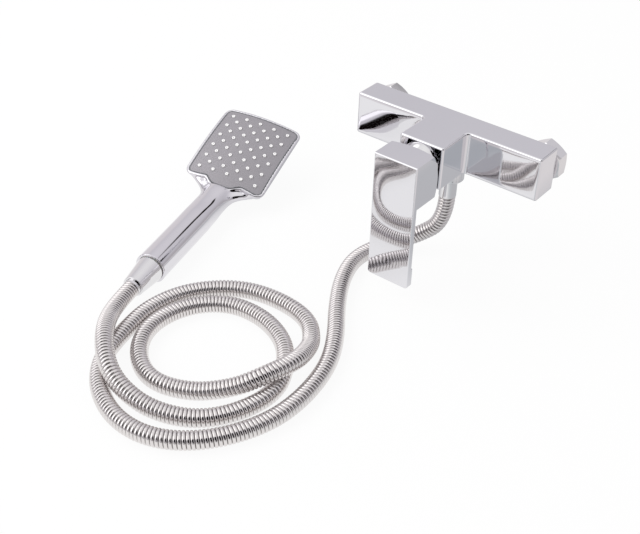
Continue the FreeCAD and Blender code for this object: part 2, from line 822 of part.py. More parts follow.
def screw_y():
    """Where the grub screw crosses the stem."""
    return lever_front_y + block_front_wall + socket_length / 2.0


def stem_under_side():
    """Height of the stem's underside at the grub screw."""
    angle = math.radians(stem_rest_tilt)
    centre = -(pivot_y - screw_y()) * math.tan(angle)
    return centre - stem_square / 2.0 / math.cos(angle)


def make_handle_screw():
    """Grub screw with a hexagon socket, its tip on the stem's underside."""
    tip_radius = grub_radius / 2.0
    top = stem_under_side() - face_gap - tip_radius * math.tan(math.radians(stem_rest_tilt)) - grub_tip
    bottom = top - grub_length
    screw = cylinder(grub_radius, (0, screw_y(), bottom), (0, 0, 1), grub_length)
    tip = Part.makeCone(grub_radius, tip_radius, grub_tip, V(0, screw_y(), top), V(0, 0, 1))
    points = []
    for i in range(6):
        angle = math.radians(60.0 * i)
        x, y = grub_key_radius * math.cos(angle), grub_key_radius * math.sin(angle)
        points.append(V(x, screw_y() + y, bottom))
    key = Part.Face(Part.makePolygon(points + points[:1])).extrude(V(0, 0, grub_key_depth))
    return fuse(screw, tip).cut(key)


def make_screw_cap():
    """Small round cap that closes the grub screw's hole, its lower edge rounded."""
    bottom = block_floor_z - cap_proud
    cap = cylinder(cap_radius, (0, screw_y(), bottom), (0, 0, 1), cap_height + cap_proud)
    return cap.makeFillet(cap_proud, edges_where(cap, lambda p: near(p.z, bottom)))


def make_outlet_nipple():
    """Shower outlet nipple: shank in the body, collar under it and a threaded end."""
    top = -half_height + outlet_shank
    full = top - outlet_end()
    shank = cylinder(outlet_shank_radius, (0, outlet_y, top), (0, 0, -1), outlet_shank)
    collar = cylinder(outlet_collar_radius, (0, outlet_y, -half_height), (0, 0, -1), outlet_collar)
    below = outlet_collar + outlet_thread
    thread = cylinder(outlet_thread_radius, (0, outlet_y, -half_height), (0, 0, -1), below)
    thread = thread.makeChamfer(outlet_thread_chamfer, edges_where(thread, lambda p: near(p.z, outlet_end())))
    bore = cylinder(outlet_nipple_bore_radius, (0, outlet_y, outlet_end()), (0, 0, 1), full - outlet_throat)
    throat = cylinder(outlet_bore_radius, (0, outlet_y, top), (0, 0, -1), outlet_throat + overrun)
    return fuse(shank, collar, thread).cut(bore).cut(throat)


def outlet_end():
    """Height of the outlet nipple's lower end."""
    return -half_height - outlet_collar - outlet_thread


def check_levels():
    """Heights of the non-return valve's top, seat and web."""
    top = outlet_end() + check_cage_height + check_cage_sunk
    return top, top - check_seat, top - check_cage_height + check_web


def make_check_cage():
    """Cage of the non-return valve: seat ring on top, wall, and a web that guides the poppet's stem."""
    top, seat, web_top = check_levels()
    outer = outlet_nipple_bore_radius - press_gap
    cage = cylinder(outer, (0, outlet_y, top), (0, 0, -1), check_cage_height)
    down = check_web + 2 * overrun
    cuts = [
        cylinder(outer - check_cage_wall, (0, outlet_y, seat), (0, 0, -1), seat - web_top),
        cylinder(check_seat_radius, (0, outlet_y, top), (0, 0, -1), check_seat + overrun),
        cylinder(check_stem_radius + running_gap, (0, outlet_y, web_top + overrun), (0, 0, -1), down),
    ]
    for i in range(check_windows):
        window = cylinder(check_window_radius, (check_window_circle, 0, web_top + overrun), (0, 0, -1), down)
        window.rotate(V(0, 0, 0), V(0, 0, 1), 360.0 / check_windows * (i + 0.5))
        window.translate(V(0, outlet_y, 0))
        cuts.append(window)
    for cut in cuts:
        cage = cage.cut(cut)
    return cage


def make_check_poppet():
    """Poppet: a disc that closes the seat from below, on a stem."""
    _, seat, web_top = check_levels()
    top = seat - face_gap
    disc = cylinder(check_poppet_radius, (0, outlet_y, top), (0, 0, -1), check_poppet)
    bottom = web_top - check_web + check_stem_short
    stem = cylinder(check_stem_radius, (0, outlet_y, bottom), (0, 0, 1), top - check_poppet / 2.0 - bottom)
    return fuse(disc, stem)


def check_spring_ends():
    """Lower and upper height of the spring's wire, between the web and the poppet."""
    _, seat, web_top = check_levels()
    return web_top + face_gap, seat - check_poppet - 2 * face_gap


def arc_with_corner(start, corner, end):
    """The arc from start to end whose end tangents meet in a corner as far from each of them."""
    middle = (start + end) / 2.0
    half_turn = math.acos((end - start).Length / 2.0 / (corner - start).Length)
    rise = math.tan(half_turn / 2.0) / math.tan(half_turn)
    return Part.Arc(start, middle + (corner - middle) * rise, end).toShape()


def pair_of_arcs(start, start_way, end, end_way):
    """Two arcs, tangent to each other, from one point and direction to another."""
    chord = end - start
    ways = start_way + end_way
    spread = 2.0 * (1.0 - start_way.dot(end_way))
    lean = chord.dot(ways)
    reach = (math.sqrt(lean ** 2 + spread * chord.dot(chord)) - lean) / spread
    first, second = start + start_way * reach, end - end_way * reach
    joint = (first + second) / 2.0
    return [arc_with_corner(start, first, joint), arc_with_corner(joint, second, end)]


def helix_wire(radius, pitch, turns):
    """A steady helix about the Z axis, as a pair of arcs for each quarter turn."""
    rise = pitch / (2.0 * math.pi)
    stations = []
    for i in range(4 * turns + 1):
        angle = math.radians(90.0 * i)
        way = V(-radius * math.sin(angle), radius * math.cos(angle), rise)
        way.normalize()
        stations.append((V(radius * math.cos(angle), radius * math.sin(angle), rise * angle), way))
    edges = []
    for (start, start_way), (end, end_way) in zip(stations, stations[1:]):
        edges += pair_of_arcs(start, start_way, end, end_way)
    return Part.Wire(edges)


def make_check_spring():
    """Spring under the poppet: one wire wound on a steady helix."""
    low, high = check_spring_ends()
    pitch = (high - low - 2 * check_spring_wire) / check_spring_turns
    helix = helix_wire(check_spring_radius, pitch, check_spring_turns)
    start = helix.Edges[0]
    way = start.tangentAt(start.FirstParameter)
    profile = Part.Wire(Part.makeCircle(check_spring_wire, V(check_spring_radius, 0, 0), way))
    spring = helix.makePipeShell([profile], True, False)
    spring.translate(V(0, outlet_y, low + check_spring_wire))
    return spring


def make_hose_nut():
    """Hose nut at the tap: round and grooved, with a threaded cup and a floor under the sleeve's flange."""
    top = -half_height - outlet_collar - hose_nut_gap
    floor_z = hose_seat_tap() - ferrule_flange
    nut = cylinder(hose_nut_radius, (0, outlet_y, top), (0, 0, -1), top - floor_z + hose_nut_floor)
    nut = nut.makeChamfer(hose_nut_chamfer, round_edges(nut))
    length = top - floor_z + hose_nut_floor
    cuts = [
        cylinder(outlet_thread_radius + running_gap, (0, outlet_y, top), (0, 0, -1), top - floor_z),
        cylinder(ferrule_radius + running_gap, (0, outlet_y, top), (0, 0, -1), length),
    ]
    groove_start = (hose_nut_radius + hose_nut_groove_centre, 0, top - hose_nut_groove_end)
    for i in range(hose_nut_grooves):
        groove = cylinder(hose_nut_groove_radius, groove_start, (0, 0, -1), length - 2 * hose_nut_groove_end)
        groove.rotate(V(0, 0, 0), V(0, 0, 1), 360.0 / hose_nut_grooves * i)
        groove.translate(V(0, outlet_y, 0))
        cuts.append(groove)
    return nut.cut(Part.makeCompound(cuts[:1] + cuts[2:])).cut(cuts[1])


def hose_seat_tap():
    """Height of the face on which the hose's upper sleeve seals, under its washer."""
    return outlet_end() - hose_washer


def ferrule_solid(tail):
    """End sleeve of the hose: flange, sleeve and bore, from its sealing face at z = 0 downwards."""
    length = ferrule_flange + tail
    flange = cylinder(ferrule_flange_radius, (0, 0, 0), (0, 0, -1), ferrule_flange)
    sleeve = cylinder(ferrule_radius, (0, 0, 0), (0, 0, -1), length)
    return fuse(flange, sleeve).cut(cylinder(hose_bore_radius, (0, 0, 0), (0, 0, -1), length))


def make_hose_washer_tap():
    """Rubber washer between the outlet nipple and the hose's sleeve."""
    start = (0, outlet_y, outlet_end())
    return tube(ferrule_flange_radius, hose_washer_bore_radius, start, (0, 0, -1), hose_washer)


def make_hose_ferrule_tap():
    """End sleeve of the hose at the tap."""
    ferrule = ferrule_solid(hose_seat_tap() - ferrule_flange - hose_top)
    ferrule.translate(V(0, outlet_y, hose_seat_tap()))
    return ferrule


def hose_path():
    """Straight runs and tangent arcs through the route's points, and the arcs' radii.

    A run is its two ends, no centre, and its length; an arc has its centre too.
    """
    points = [V(*p) for p in hose_route]
    pieces = []
    radii = []
    last = points[0]
    for before, corner, after in zip(points, points[1:], points[2:]):
        back = before - corner
        ahead = after - corner
        leg = arc_share * min(back.Length, ahead.Length)
        back.normalize()
        ahead.normalize()
        turn = math.pi - back.getAngle(ahead)
        radius = leg / math.tan(turn / 2.0)
        bisector = back + ahead
        bisector.normalize()
        centre = corner + bisector * (radius / math.cos(turn / 2.0))
        start = corner + back * leg
        end = corner + ahead * leg
        pieces.append((last, start, None, (start - last).Length))
        pieces.append((start, end, centre, radius * turn))
        radii.append(radius)
        last = end
    pieces.append((last, points[-1], None, (points[-1] - last).Length))
    return pieces, radii


def point_on_piece(piece, distance):
    """Point and direction at a distance along one run or arc."""
    start, end, centre, length = piece
    if centre is None:
        direction = (end - start) / length
        return start + direction * distance, direction
    first = start - centre
    normal = first.cross(end - centre)
    normal.normalize()
    across = normal.cross(first)
    angle = distance / first.Length
    direction = across * math.cos(angle) - first * math.sin(angle)
    direction.normalize()
    return centre + first * math.cos(angle) + across * math.sin(angle), direction


def point_on_path(pieces, distance):
    """Point and direction at a distance along the whole path."""
    for piece in pieces[:-1]:
        if distance <= piece[3]:
            return point_on_piece(piece, distance)
        distance -= piece[3]
    return point_on_piece(pieces[-1], min(distance, pieces[-1][3]))


def carried_axis(axis, direction):
    """The last circle's X axis, carried along square to a new direction."""
    moved = axis - direction * axis.dot(direction)
    moved.normalize()
    return moved


def ring_wire(point, direction, axis, radius):
    """A circle square to the path, whose start lies on a carried X axis."""
    circle = Part.Circle(V(0, 0, 0), V(0, 0, 1), radius).toShape()
    turn = FreeCAD.Rotation(axis, direction.cross(axis), direction, "ZXY")
    circle.Placement = FreeCAD.Placement(point, turn)
    return Part.Wire(circle)


def rib_stations(length):
    """Distance and radius of the outer circles: four to a rib, and plain ends."""
    stations = [(0.0, hose_radius)]
    pitch = (length - 2 * hose_plain_end) / hose_ribs
    valley = hose_radius - hose_rib_depth
    profile = ((rib_crest_start, hose_radius), (rib_crest_end, hose_radius),
               (rib_valley_start, valley), (rib_valley_end, valley))
    for i in range(hose_ribs):
        stations += [(hose_plain_end + (i + share) * pitch, radius) for share, radius in profile]
    stations.append((length, hose_radius))
    return stations


def rings_along(pieces, stations):
    """Circles along the path, one for each station, on one steady X axis."""
    wires = []
    _, direction = point_on_path(pieces, 0.0)
    axis = carried_axis(V(1, 0, 0), direction)
    for distance, radius in stations:
        point, direction = point_on_path(pieces, distance)
        axis = carried_axis(axis, direction)
        wires.append(ring_wire(point, direction, axis, radius))
    return wires


def least_gap(pieces, length):
    """Least gap of the hose to itself, measured on points a few millimetres apart.

    Points closer along the hose than three and a half diameters are neighbours and aren't compared.
    """
    count = int(length / gap_step)
    points = [point_on_path(pieces, length * i / count)[0] for i in range(count + 1)]
    apart = int(7 * hose_radius / gap_step)
    least = min(points[i].distanceToPoint(points[j])
                for i in range(count + 1) for j in range(i + apart, count + 1))
    return least - 2 * hose_radius


def hose_wire(pieces):
    """The path as one wire of lines and arcs."""
    edges = []
    for piece in pieces:
        start, end, centre, length = piece
        if centre is None:
            edges.append(Part.LineSegment(start, end).toShape())
        else:
            middle, _ = point_on_piece(piece, length / 2.0)
            edges.append(Part.Arc(start, middle, end).toShape())
    return Part.Wire(edges)


def make_hose_tube():
    """Ribbed metal hose with its bore, from sleeve to sleeve."""
    pieces, radii = hose_path()
    length = sum(piece[3] for piece in pieces)
    print("hose: length %.0f mm, radii %s" % (length, " ".join("%.0f" % r for r in radii)))
    print("hose: least gap to itself %.2f mm" % least_gap(pieces, length))
    outer = Part.makeLoft(rings_along(pieces, rib_stations(length)), True, True)
    _, direction = point_on_path(pieces, 0.0)
    start = ring_wire(V(*hose_route[0]), direction, V(1, 0, 0), hose_bore_radius)
    bore = hose_wire(pieces).makePipeShell([start], True, False)
    hose = outer.cut(bore)
    section = math.pi * (hose_radius ** 2 - hose_bore_radius ** 2)
    print("hose: volume %.0f, plain section times length %.0f" % (hose.Volume, section * length))
    return hose


def in_handset(shape, tilted=False):
    """Move a piece from the hand shower's own frame to its place; the face's pieces are tilted first."""
    if tilted:
        shape = place_on_face(shape)
    shape.rotate(V(0, 0, 0), V(0, 1, 0), handset_roll)
    shape.rotate(V(0, 0, 0), V(0, 0, 1), handset_heading)
    shape.translate(handset_origin)
    return shape


def connector_face():
    """Y of the connector's rear face in the hand shower's frame."""
    return -cone_gap - connector_proud


def make_cone_nut():
    """Conical nut between hose and hand shower: threaded cup, narrower seat for the flange, and hole."""
    cone = Part.makeCone(cone_large_radius, cone_small_radius, cone_length, V(0, -cone_gap, 0), V(0, -1, 0))
    cone = cone.makeFillet(cone_edge_radius, round_edges(cone))
    seat = connector_face() - hose_washer - ferrule_flange
    for radius, end in ((connector_thread_radius + running_gap, connector_face() - slip_gap),
                        (ferrule_flange_radius + running_gap, seat),
                        (ferrule_radius + running_gap, -cone_gap - cone_length)):
        cone = cone.cut(cylinder(radius, (0, 0, 0), (0, -1, 0), -end))
    return in_handset(cone)


def make_hose_washer_handset():
    """Rubber washer between the connector and the hose's sleeve."""
    start = (0, connector_face(), 0)
    return in_handset(tube(ferrule_flange_radius, hose_washer_bore_radius, start, (0, -1, 0), hose_washer))


def make_hose_ferrule_handset():
    """End sleeve of the hose at the hand shower, which shows past the cone."""
    face = connector_face() - hose_washer
    ferrule = ferrule_solid(face - ferrule_flange + hose_end_behind)
    ferrule.rotate(V(0, 0, 0), V(1, 0, 0), -90)
    ferrule.translate(V(0, face, 0))
    return in_handset(ferrule)


def face_outline(inset, z=0.0):
    """Outline of the head in its face's plane: oblong, round corners, and a swell towards the handle."""
    half = face_width / 2.0 - inset
    long = face_length / 2.0 - inset
    r = max(face_corner_radius - inset, face_corner_least)
    d = r * (1.0 - math.sqrt(0.5))
    right = [V(half - r, -long, z)] + [V(x, -long - face_bulge * part, z) for x, part in face_bulge_shape]
    swell = Part.BSplineCurve()
    swell.interpolate(Points=right + [V(-p.x, p.y, z) for p in reversed(right[:-1])],
                      InitialTangent=V(-1, 0, 0), FinalTangent=V(-1, 0, 0))
    corners = [
        (V(-half, long - r, z), V(-half + d, long - d, z), V(-half + r, long, z)),
        (V(half - r, long, z), V(half - d, long - d, z), V(half, long - r, z)),
        (V(half, -long + r, z), V(half - d, -long + d, z), V(half - r, -long, z)),
        (V(-half + r, -long, z), V(-half + d, -long + d, z), V(-half, -long + r, z)),
    ]
    edges = []
    for i, corner in enumerate(corners):
        edges.append(Part.Arc(*corner).toShape())
        following = corners[(i + 1) % len(corners)][0]
        edges.append(swell.toShape() if i == 2 else Part.LineSegment(corner[2], following).toShape())
    return Part.Wire(edges)


def handle_section(y, width, bottom, top, corner):
    """One cross-section of the handle, square to its axis."""
    wire = rounded_outline(width, top - bottom, corner)
    wire.rotate(V(0, 0, 0), V(1, 0, 0), 90)
    wire.translate(V(0, y, (top + bottom) / 2.0))
    return wire


def slope_at(places, values, i):
    """Slope of a smooth curve at one of its points that never overshoots its neighbours."""
    if i in (0, len(places) - 1):
        return 0.0
    before = (values[i] - values[i - 1]) / (places[i] - places[i - 1])
    after = (values[i + 1] - values[i]) / (places[i + 1] - places[i])
    return 2.0 * before * after / (before + after) if before * after > 0 else 0.0


def smooth_value(places, values, at):
    """Value at a place on a smooth curve through the given points."""
    i = max(k for k in range(len(places) - 1) if places[k] <= at)
    step = places[i + 1] - places[i]
    t = (at - places[i]) / step
    rise = (1 - t) ** 2 * ((1 + 2 * t) * values[i] + t * step * slope_at(places, values, i))
    return rise + t ** 2 * ((3 - 2 * t) * values[i + 1] - (1 - t) * step * slope_at(places, values, i + 1))


def lofted(table, to_the_end=False):
    """A form through the sections of a table, which may hold its first section back to the rear end."""
    r = handle_radius
    before_face, wide, low, high, corner = zip(*table)
    places = [face_distance - distance for distance in before_face]
    step = (places[-1] - places[0]) / handle_steps
    wires = []
    for y in [0.0] * to_the_end + [places[0] + step * i for i in range(handle_steps + 1)]:
        at = min(max(y, places[0]), places[-1])
        w, b, t, c = (r * smooth_value(places, row, at) for row in (wide, low, high, corner))
        wires.append(handle_section(y, 2 * w, -b, t, c))
    return Part.makeLoft(wires, True, True)


def crown_height(x, y):
    """Height of the crowned face at a place, from its middle."""
    along = face_crown_along - math.sqrt(face_crown_along ** 2 - y * y)
    across = face_crown_across - along
    return math.sqrt(across * across - x * x) - face_crown_across


def under_crown(level):
    """A round body whose upper side is the face's crown, moved to a level at the face's middle."""
    reach = face_length
    drop = crown_height(0.0, reach)
    top = Part.Arc(V(0, -reach, level + drop), V(0, 0, level), V(0, reach, level + drop)).toShape()
    axis = level - face_crown_across
    sides = Part.makePolygon([V(0, reach, level + drop), V(0, reach, axis), V(0, -reach, axis),
                              V(0, -reach, level + drop)])
    profile = Part.Face(Part.Wire([top] + sides.Edges))
    half = profile.copy()
    half.rotate(V(0, 0, axis), V(0, 1, 0), -90)
    return half.revolve(V(0, 0, axis), V(0, 1, 0), 180)


def face_slab(inset, bottom, height):
    """A flat slab with the head's outline, standing on a level below the face's middle."""
    return Part.Face(face_outline(inset, bottom)).extrude(V(0, 0, height))


def crowned_slab(inset, bottom, height):
    """A slab with the head's outline that follows the face's crown on both sides."""
    slab = face_slab(inset, -head_thickness, head_thickness + overrun)
    return slab.common(under_crown(bottom + height)).cut(under_crown(bottom))


def head_form():
    """Head: a crowned plate with the face's outline, narrowing to its flat back in a slope."""
    turn = head_thickness * head_straight_part
    wires = [face_outline(0.0, -turn), face_outline(head_back_inset, -head_thickness)]
    plate = face_slab(0.0, -turn, turn + overrun).common(under_crown(0.0))
    return fuse(plate, Part.makeLoft(wires, True, True).common(under_crown(0.0)))


def pocket_floor():
    """Level of the head's hollow below the face's plane: faceplate, mat and distributor deep."""
    return -(faceplate_sunk + faceplate_thickness + mat_thickness + chamber_depth_handset + face_gap)


def place_on_face(shape):
    """Move a piece from the face's plane to the hand shower's own frame."""
    shape.rotate(V(0, 0, 0), V(1, 0, 0), face_tilt)
    shape.translate(V(0, face_distance, face_rise))
    return shape


def make_handset_shell():
    """Shell of the hand shower: handle and head in one, hollow for the water parts."""
    shell = fuse(lofted(handle_shape, True), lofted(ridge_shape), place_on_face(head_form()))
    sink = cylinder(inlet_radius, (0, inlet_v, pocket_floor() + overrun), (0, 0, -1), inlet_sink + overrun)
    plug_end = connector_face() + connector_length
    cuts = [
        place_on_face(face_slab(rim_width, pocket_floor(), overrun - pocket_floor())),
        place_on_face(sink),
        place_on_face(screw_holes()),
        cylinder(connector_thread_radius + thread_gap, (0, 0, 0), (0, 1, 0), plug_end + handle_hollow),
        cylinder(water_tube_radius + slip_gap, (0, 0, 0), (0, 1, 0), tube_end + seat_gap),
        cylinder(inlet_radius, (0, 0, 0), (0, 1, 0), inlet_run_end),
    ]
    for cut in cuts:
        shell = shell.cut(cut)
    return in_handset(shell)


def screw_places():
    """Centres of the four screws in the face's plane."""
    across = face_width / 2.0 - screw_inset
    along = face_length / 2.0 - screw_inset
    return [(x, y) for x in (-across, across) for y in (-along, along)]


def chamber_bottom():
    """Level of the distributor's underside, on the floor of the head's hollow."""
    return pocket_floor() + face_gap


def screw_holes():
    """Blind holes for the distributor's screws in the shell's back wall."""
    depth = screw_length - chamber_floor - screw_post + seat_gap
    return Part.makeCompound([cylinder(screw_radius, (x, y, chamber_bottom()), (0, 0, -1), depth)
                              for x, y in screw_places()])


def connector_bore_radius():
    """Bore of the connector, which also holds the water tube."""
    return water_tube_radius + thread_gap


def make_handset_connector():
    """Connector: a threaded tail for the cone nut and a plug glued in the handle."""
    start = (0, connector_face(), 0)
    connector = tube(connector_thread_radius, connector_bore_radius(), start, (0, 1, 0), connector_length)
    return in_handset(connector)


def make_flow_limiter():
    """Disc with small holes in the connector's mouth."""
    start = connector_face() + limiter_sunk
    disc = cylinder(connector_bore_radius() - press_gap, (0, start, 0), (0, 1, 0), limiter_thickness)
    holes = [cylinder(limiter_hole_radius, (0, start, 0), (0, 1, 0), limiter_thickness)]
    for i in range(limiter_holes):
        angle = math.radians(360.0 / limiter_holes * i)
        place = (limiter_circle * math.cos(angle), start, limiter_circle * math.sin(angle))
        holes.append(cylinder(limiter_hole_radius, place, (0, 1, 0), limiter_thickness))
    return in_handset(disc.cut(Part.makeCompound(holes)))


def make_water_tube():
    """Plastic tube through the handle, from the connector to the head."""
    start = connector_face() + connector_length - tube_in_connector
    inner = water_tube_radius - water_tube_wall
    return in_handset(tube(water_tube_radius, inner, (0, start, 0), (0, 1, 0), tube_end - start))


def make_spray_chamber():
    """Distributor: a shallow tray with a water inlet in its floor and four screw posts."""
    bottom = chamber_bottom()
    floor_top = bottom + chamber_floor
    tray = face_slab(rim_width + slip_gap, bottom, chamber_depth_handset)
    tray = tray.common(under_crown(bottom + chamber_depth_handset))
    tray = tray.cut(face_slab(rim_width + slip_gap + chamber_wall, floor_top, chamber_depth_handset))
    height = chamber_floor + screw_post
    posts = [cylinder(screw_post_radius, (x, y, bottom), (0, 0, 1), height) for x, y in screw_places()]
    tray = fuse(tray, *posts).cut(cylinder(inlet_radius, (0, inlet_v, bottom), (0, 0, 1), chamber_floor))
    for x, y in screw_places():
        tray = tray.cut(cylinder(screw_radius + running_gap, (x, y, bottom), (0, 0, 1), height))
    return in_handset(tray, tilted=True)


def make_chamber_screws():
    """Four screws through the distributor into the shell."""
    head_z = chamber_bottom() + chamber_floor + screw_post
    screws = []
    for x, y in screw_places():
        head = cylinder(screw_head_radius, (x, y, head_z), (0, 0, 1), screw_head)
        shaft = cylinder(screw_radius - press_gap, (x, y, head_z), (0, 0, -1), screw_length)
        screws.append(fuse(head, shaft))
    return in_handset(Part.makeCompound(screws), tilted=True)


def make_nozzle_mat():
    """Soft mat behind the faceplate, with a nozzle standing through each of its holes."""
    top = -faceplate_sunk - faceplate_thickness
    mat = crowned_slab(rim_width + gasket_width + seat_gap, top - mat_thickness, mat_thickness)
    tip_radius = nozzle_radius * nozzle_taper
    height = mat_thickness / 2.0 + faceplate_thickness + nozzle_proud
    stubs = []
    bores = []
    for x, y in nozzle_places():
        root = V(x, y, crown_height(x, y) + top - mat_thickness / 2.0)
        stubs.append(Part.makeCone(nozzle_radius, tip_radius, height, root))
        bores.append(cylinder(nozzle_bore_radius, root - V(0, 0, mat_thickness), (0, 0, 1), 2 * height))
    return in_handset(fuse(mat, *stubs).cut(Part.makeCompound(bores)), tilted=True)


def nozzle_places():
    """Centres of the nozzles: rows of five with rows of four between them."""
    places = []
    rows = 2 * nozzle_rows - 1
    for row in range(rows):
        count = nozzles_per_row - row % 2
        y = (row - (rows - 1) / 2.0) * nozzle_pitch_along / 2.0
        for i in range(count):
            places.append(((i - (count - 1) / 2.0) * nozzle_pitch_across, y))
    return places


def make_face_gasket():
    """Rubber frame round the mat, between distributor and faceplate."""
    z = -faceplate_sunk - faceplate_thickness - mat_thickness
    ring = crowned_slab(rim_width + slip_gap, z, mat_thickness)
    hollow = face_slab(rim_width + gasket_width, -head_thickness, head_thickness + overrun)
    return in_handset(ring.cut(hollow), tilted=True)


def make_faceplate():
    """Grey faceplate, sunk a little in the head's rim, with a hole for each nozzle."""
    z = -faceplate_sunk - faceplate_thickness
    holes = [cylinder(nozzle_hole_radius, (x, y, -head_thickness), (0, 0, 1), head_thickness + overrun)
             for x, y in nozzle_places()]
    plate = crowned_slab(rim_width + slip_gap, z, faceplate_thickness)
    return in_handset(plate.cut(Part.makeCompound(holes)), tilted=True)


def build_all():
    """Every node by name."""
    levels = cartridge_levels()
    parts = {
        "tap_body": make_tap_body(levels),
        "cartridge_base": make_cartridge_base(levels),
        "cartridge_seals": make_cartridge_seals(),
        "fixed_disc": make_fixed_disc(levels),
        "moving_disc": make_moving_disc(levels),
        "disc_carrier": make_disc_carrier(levels),
        "cartridge_housing": make_cartridge_housing(levels),
        "cartridge_rotor": make_cartridge_rotor(levels),
        "lever_stem": make_lever_stem(),
        "stem_pin": make_stem_pin(),
        "cartridge_nut": make_cartridge_nut(levels),
        "dome_collar": make_dome_collar(),
        "lever_handle": make_lever_handle(),
        "handle_screw": make_handle_screw(),
        "screw_cap": make_screw_cap(),
        "outlet_nipple": make_outlet_nipple(),
        "check_cage": make_check_cage(),
        "check_poppet": make_check_poppet(),
        "check_spring": make_check_spring(),
        "hose_nut": make_hose_nut(),
        "hose_washer_tap": make_hose_washer_tap(),
        "hose_ferrule_tap": make_hose_ferrule_tap(),
        "hose_tube": make_hose_tube(),
        "hose_ferrule_handset": make_hose_ferrule_handset(),
        "hose_washer_handset": make_hose_washer_handset(),
        "hose_cone_nut": make_cone_nut(),
        "handset_connector": make_handset_connector(),
        "flow_limiter": make_flow_limiter(),
        "handset_shell": make_handset_shell(),
        "handset_water_tube": make_water_tube(),
        "spray_chamber": make_spray_chamber(),
        "chamber_screws": make_chamber_screws(),
        "face_gasket": make_face_gasket(),
        "faceplate": make_faceplate(),
        "nozzle_mat": make_nozzle_mat(),
    }
    for name, side in (("hot", -1), ("cold", 1)):
        parts["inlet_nipple_" + name] = make_inlet_nipple(side)
        parts["union_nut_" + name] = make_union_nut(side)
        parts["inlet_washer_" + name] = make_inlet_washer(side)
        parts["inlet_filter_" + name] = make_inlet_filter(side)
    return parts


os.makedirs("parts", exist_ok=True)
for node, shape in build_all().items():
    shape.exportStep("parts/%s.step" % node)
    print("%-22s solids %d valid %s volume %.0f" % (node, len(shape.Solids), shape.isValid(), shape.Volume))
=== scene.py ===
"""A single-lever wall shower mixer with its ribbed hose and oblong hand shower, dressed for the camera.

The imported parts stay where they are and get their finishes. The visible plated ones are copied
and smoothed, the hand shower's shell is rebuilt, and the hose is wound along its own route. All
sizes are in metres, in the frame of the parts: X runs along the bar, Y points to the wall and Z
is up.
"""
import bisect
import json
import logging
import math
from collections.abc import Iterable
from dataclasses import dataclass
from enum import Enum

import bmesh
import bpy
from mathutils import Matrix, Vector

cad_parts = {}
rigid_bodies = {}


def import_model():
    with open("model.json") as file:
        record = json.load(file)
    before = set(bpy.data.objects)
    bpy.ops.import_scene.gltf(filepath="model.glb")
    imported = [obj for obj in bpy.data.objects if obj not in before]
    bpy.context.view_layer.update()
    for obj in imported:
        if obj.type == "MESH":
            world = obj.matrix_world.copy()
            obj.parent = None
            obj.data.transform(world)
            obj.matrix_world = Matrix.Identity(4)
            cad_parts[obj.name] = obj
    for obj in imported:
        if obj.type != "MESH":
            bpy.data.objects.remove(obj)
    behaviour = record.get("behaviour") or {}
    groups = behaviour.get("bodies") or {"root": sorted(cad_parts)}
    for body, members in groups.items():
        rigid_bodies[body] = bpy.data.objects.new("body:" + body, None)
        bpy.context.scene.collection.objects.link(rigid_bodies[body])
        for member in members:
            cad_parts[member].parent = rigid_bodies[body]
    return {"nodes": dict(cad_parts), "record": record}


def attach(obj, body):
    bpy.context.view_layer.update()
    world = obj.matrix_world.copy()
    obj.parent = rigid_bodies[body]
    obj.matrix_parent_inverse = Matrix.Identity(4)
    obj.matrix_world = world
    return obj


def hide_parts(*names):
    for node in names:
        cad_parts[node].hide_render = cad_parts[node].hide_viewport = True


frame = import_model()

log = logging.getLogger("shower_mixer")
MM = 0.001
FLOOR_Z = -0.116
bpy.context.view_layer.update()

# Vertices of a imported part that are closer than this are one.
SAME_POINT = 0.002 * MM

WHITE = (1.0, 1.0, 1.0, 1.0)


def linear(code: str) -> tuple[float, float, float, float]:
    """Turns a sRGB hex colour into linear values.

    Args:
        code: Six hex digits after a hash sign.

    Returns:
        Red, green, blue and an alpha of one.
    """
    parts = [int(code[i:i + 2], 16) / 255.0 for i in (1, 3, 5)]
    rgb = [p / 12.92 if p <= 0.04045 else ((p + 0.055) / 1.055) ** 2.4 for p in parts]
    return rgb[0], rgb[1], rgb[2], 1.0


def add_node(tree: bpy.types.NodeTree, kind: str, settings: dict | None = None,
             links: dict | None = None) -> bpy.types.Node:
    """Adds one shader node.

    Args:
        tree: The material's or the world's node tree.
        kind: The node's type.
        settings: Values for its sockets, by name or number, or for its own properties, by name.
        links: Output sockets to join to its inputs, by the input's name or number.

    Returns:
        The new node.
    """
    node = tree.nodes.new(kind)
    for name, value in (settings or {}).items():
        if isinstance(name, int) or name in node.inputs:
            node.inputs[name].default_value = value
        else:
            setattr(node, name, value)
    for name, source in (links or {}).items():
        tree.links.new(source, node.inputs[name])
    return node


def in_scene(name: str, data: bpy.types.ID) -> bpy.types.Object:
    """Makes an object and puts it in the scene.

    Args:
        name: The object's name.
        data: Its mesh, curve, camera or lamp.

    Returns:
        The new object.
    """
    made = bpy.data.objects.new(name, data)
    bpy.context.scene.collection.objects.link(made)
    return made


def without_modifiers(made: bpy.types.Object) -> bpy.types.Mesh:
    """Takes an object's mesh with its modifiers carried out.

    Args:
        made: The object.

    Returns:
        A new mesh.
    """
    return bpy.data.meshes.new_from_object(made.evaluated_get(bpy.context.evaluated_depsgraph_get()))


class Slot(Enum):
    """The record's material slots."""

    CHROME_BODY = "chrome_body"
    CHROME_TRIM = "chrome_trim"
    BRASS_RAW = "brass_raw"
    RUBBER_BLACK = "rubber_black"
    RUBBER_GREY = "rubber_grey"
    FILTER_MESH = "filter_mesh"
    CERAMIC_DISC = "ceramic_disc"
    ACETAL_WHITE = "acetal_white"
    NYLON_GREY = "nylon_grey"
    STEEL_SPRING = "steel_spring"
    HOSE_METAL = "hose_metal"
    CHROMED_PLASTIC = "chromed_plastic"
    FACEPLATE_GREY = "faceplate_grey"
    SILICONE_WHITE = "silicone_white"


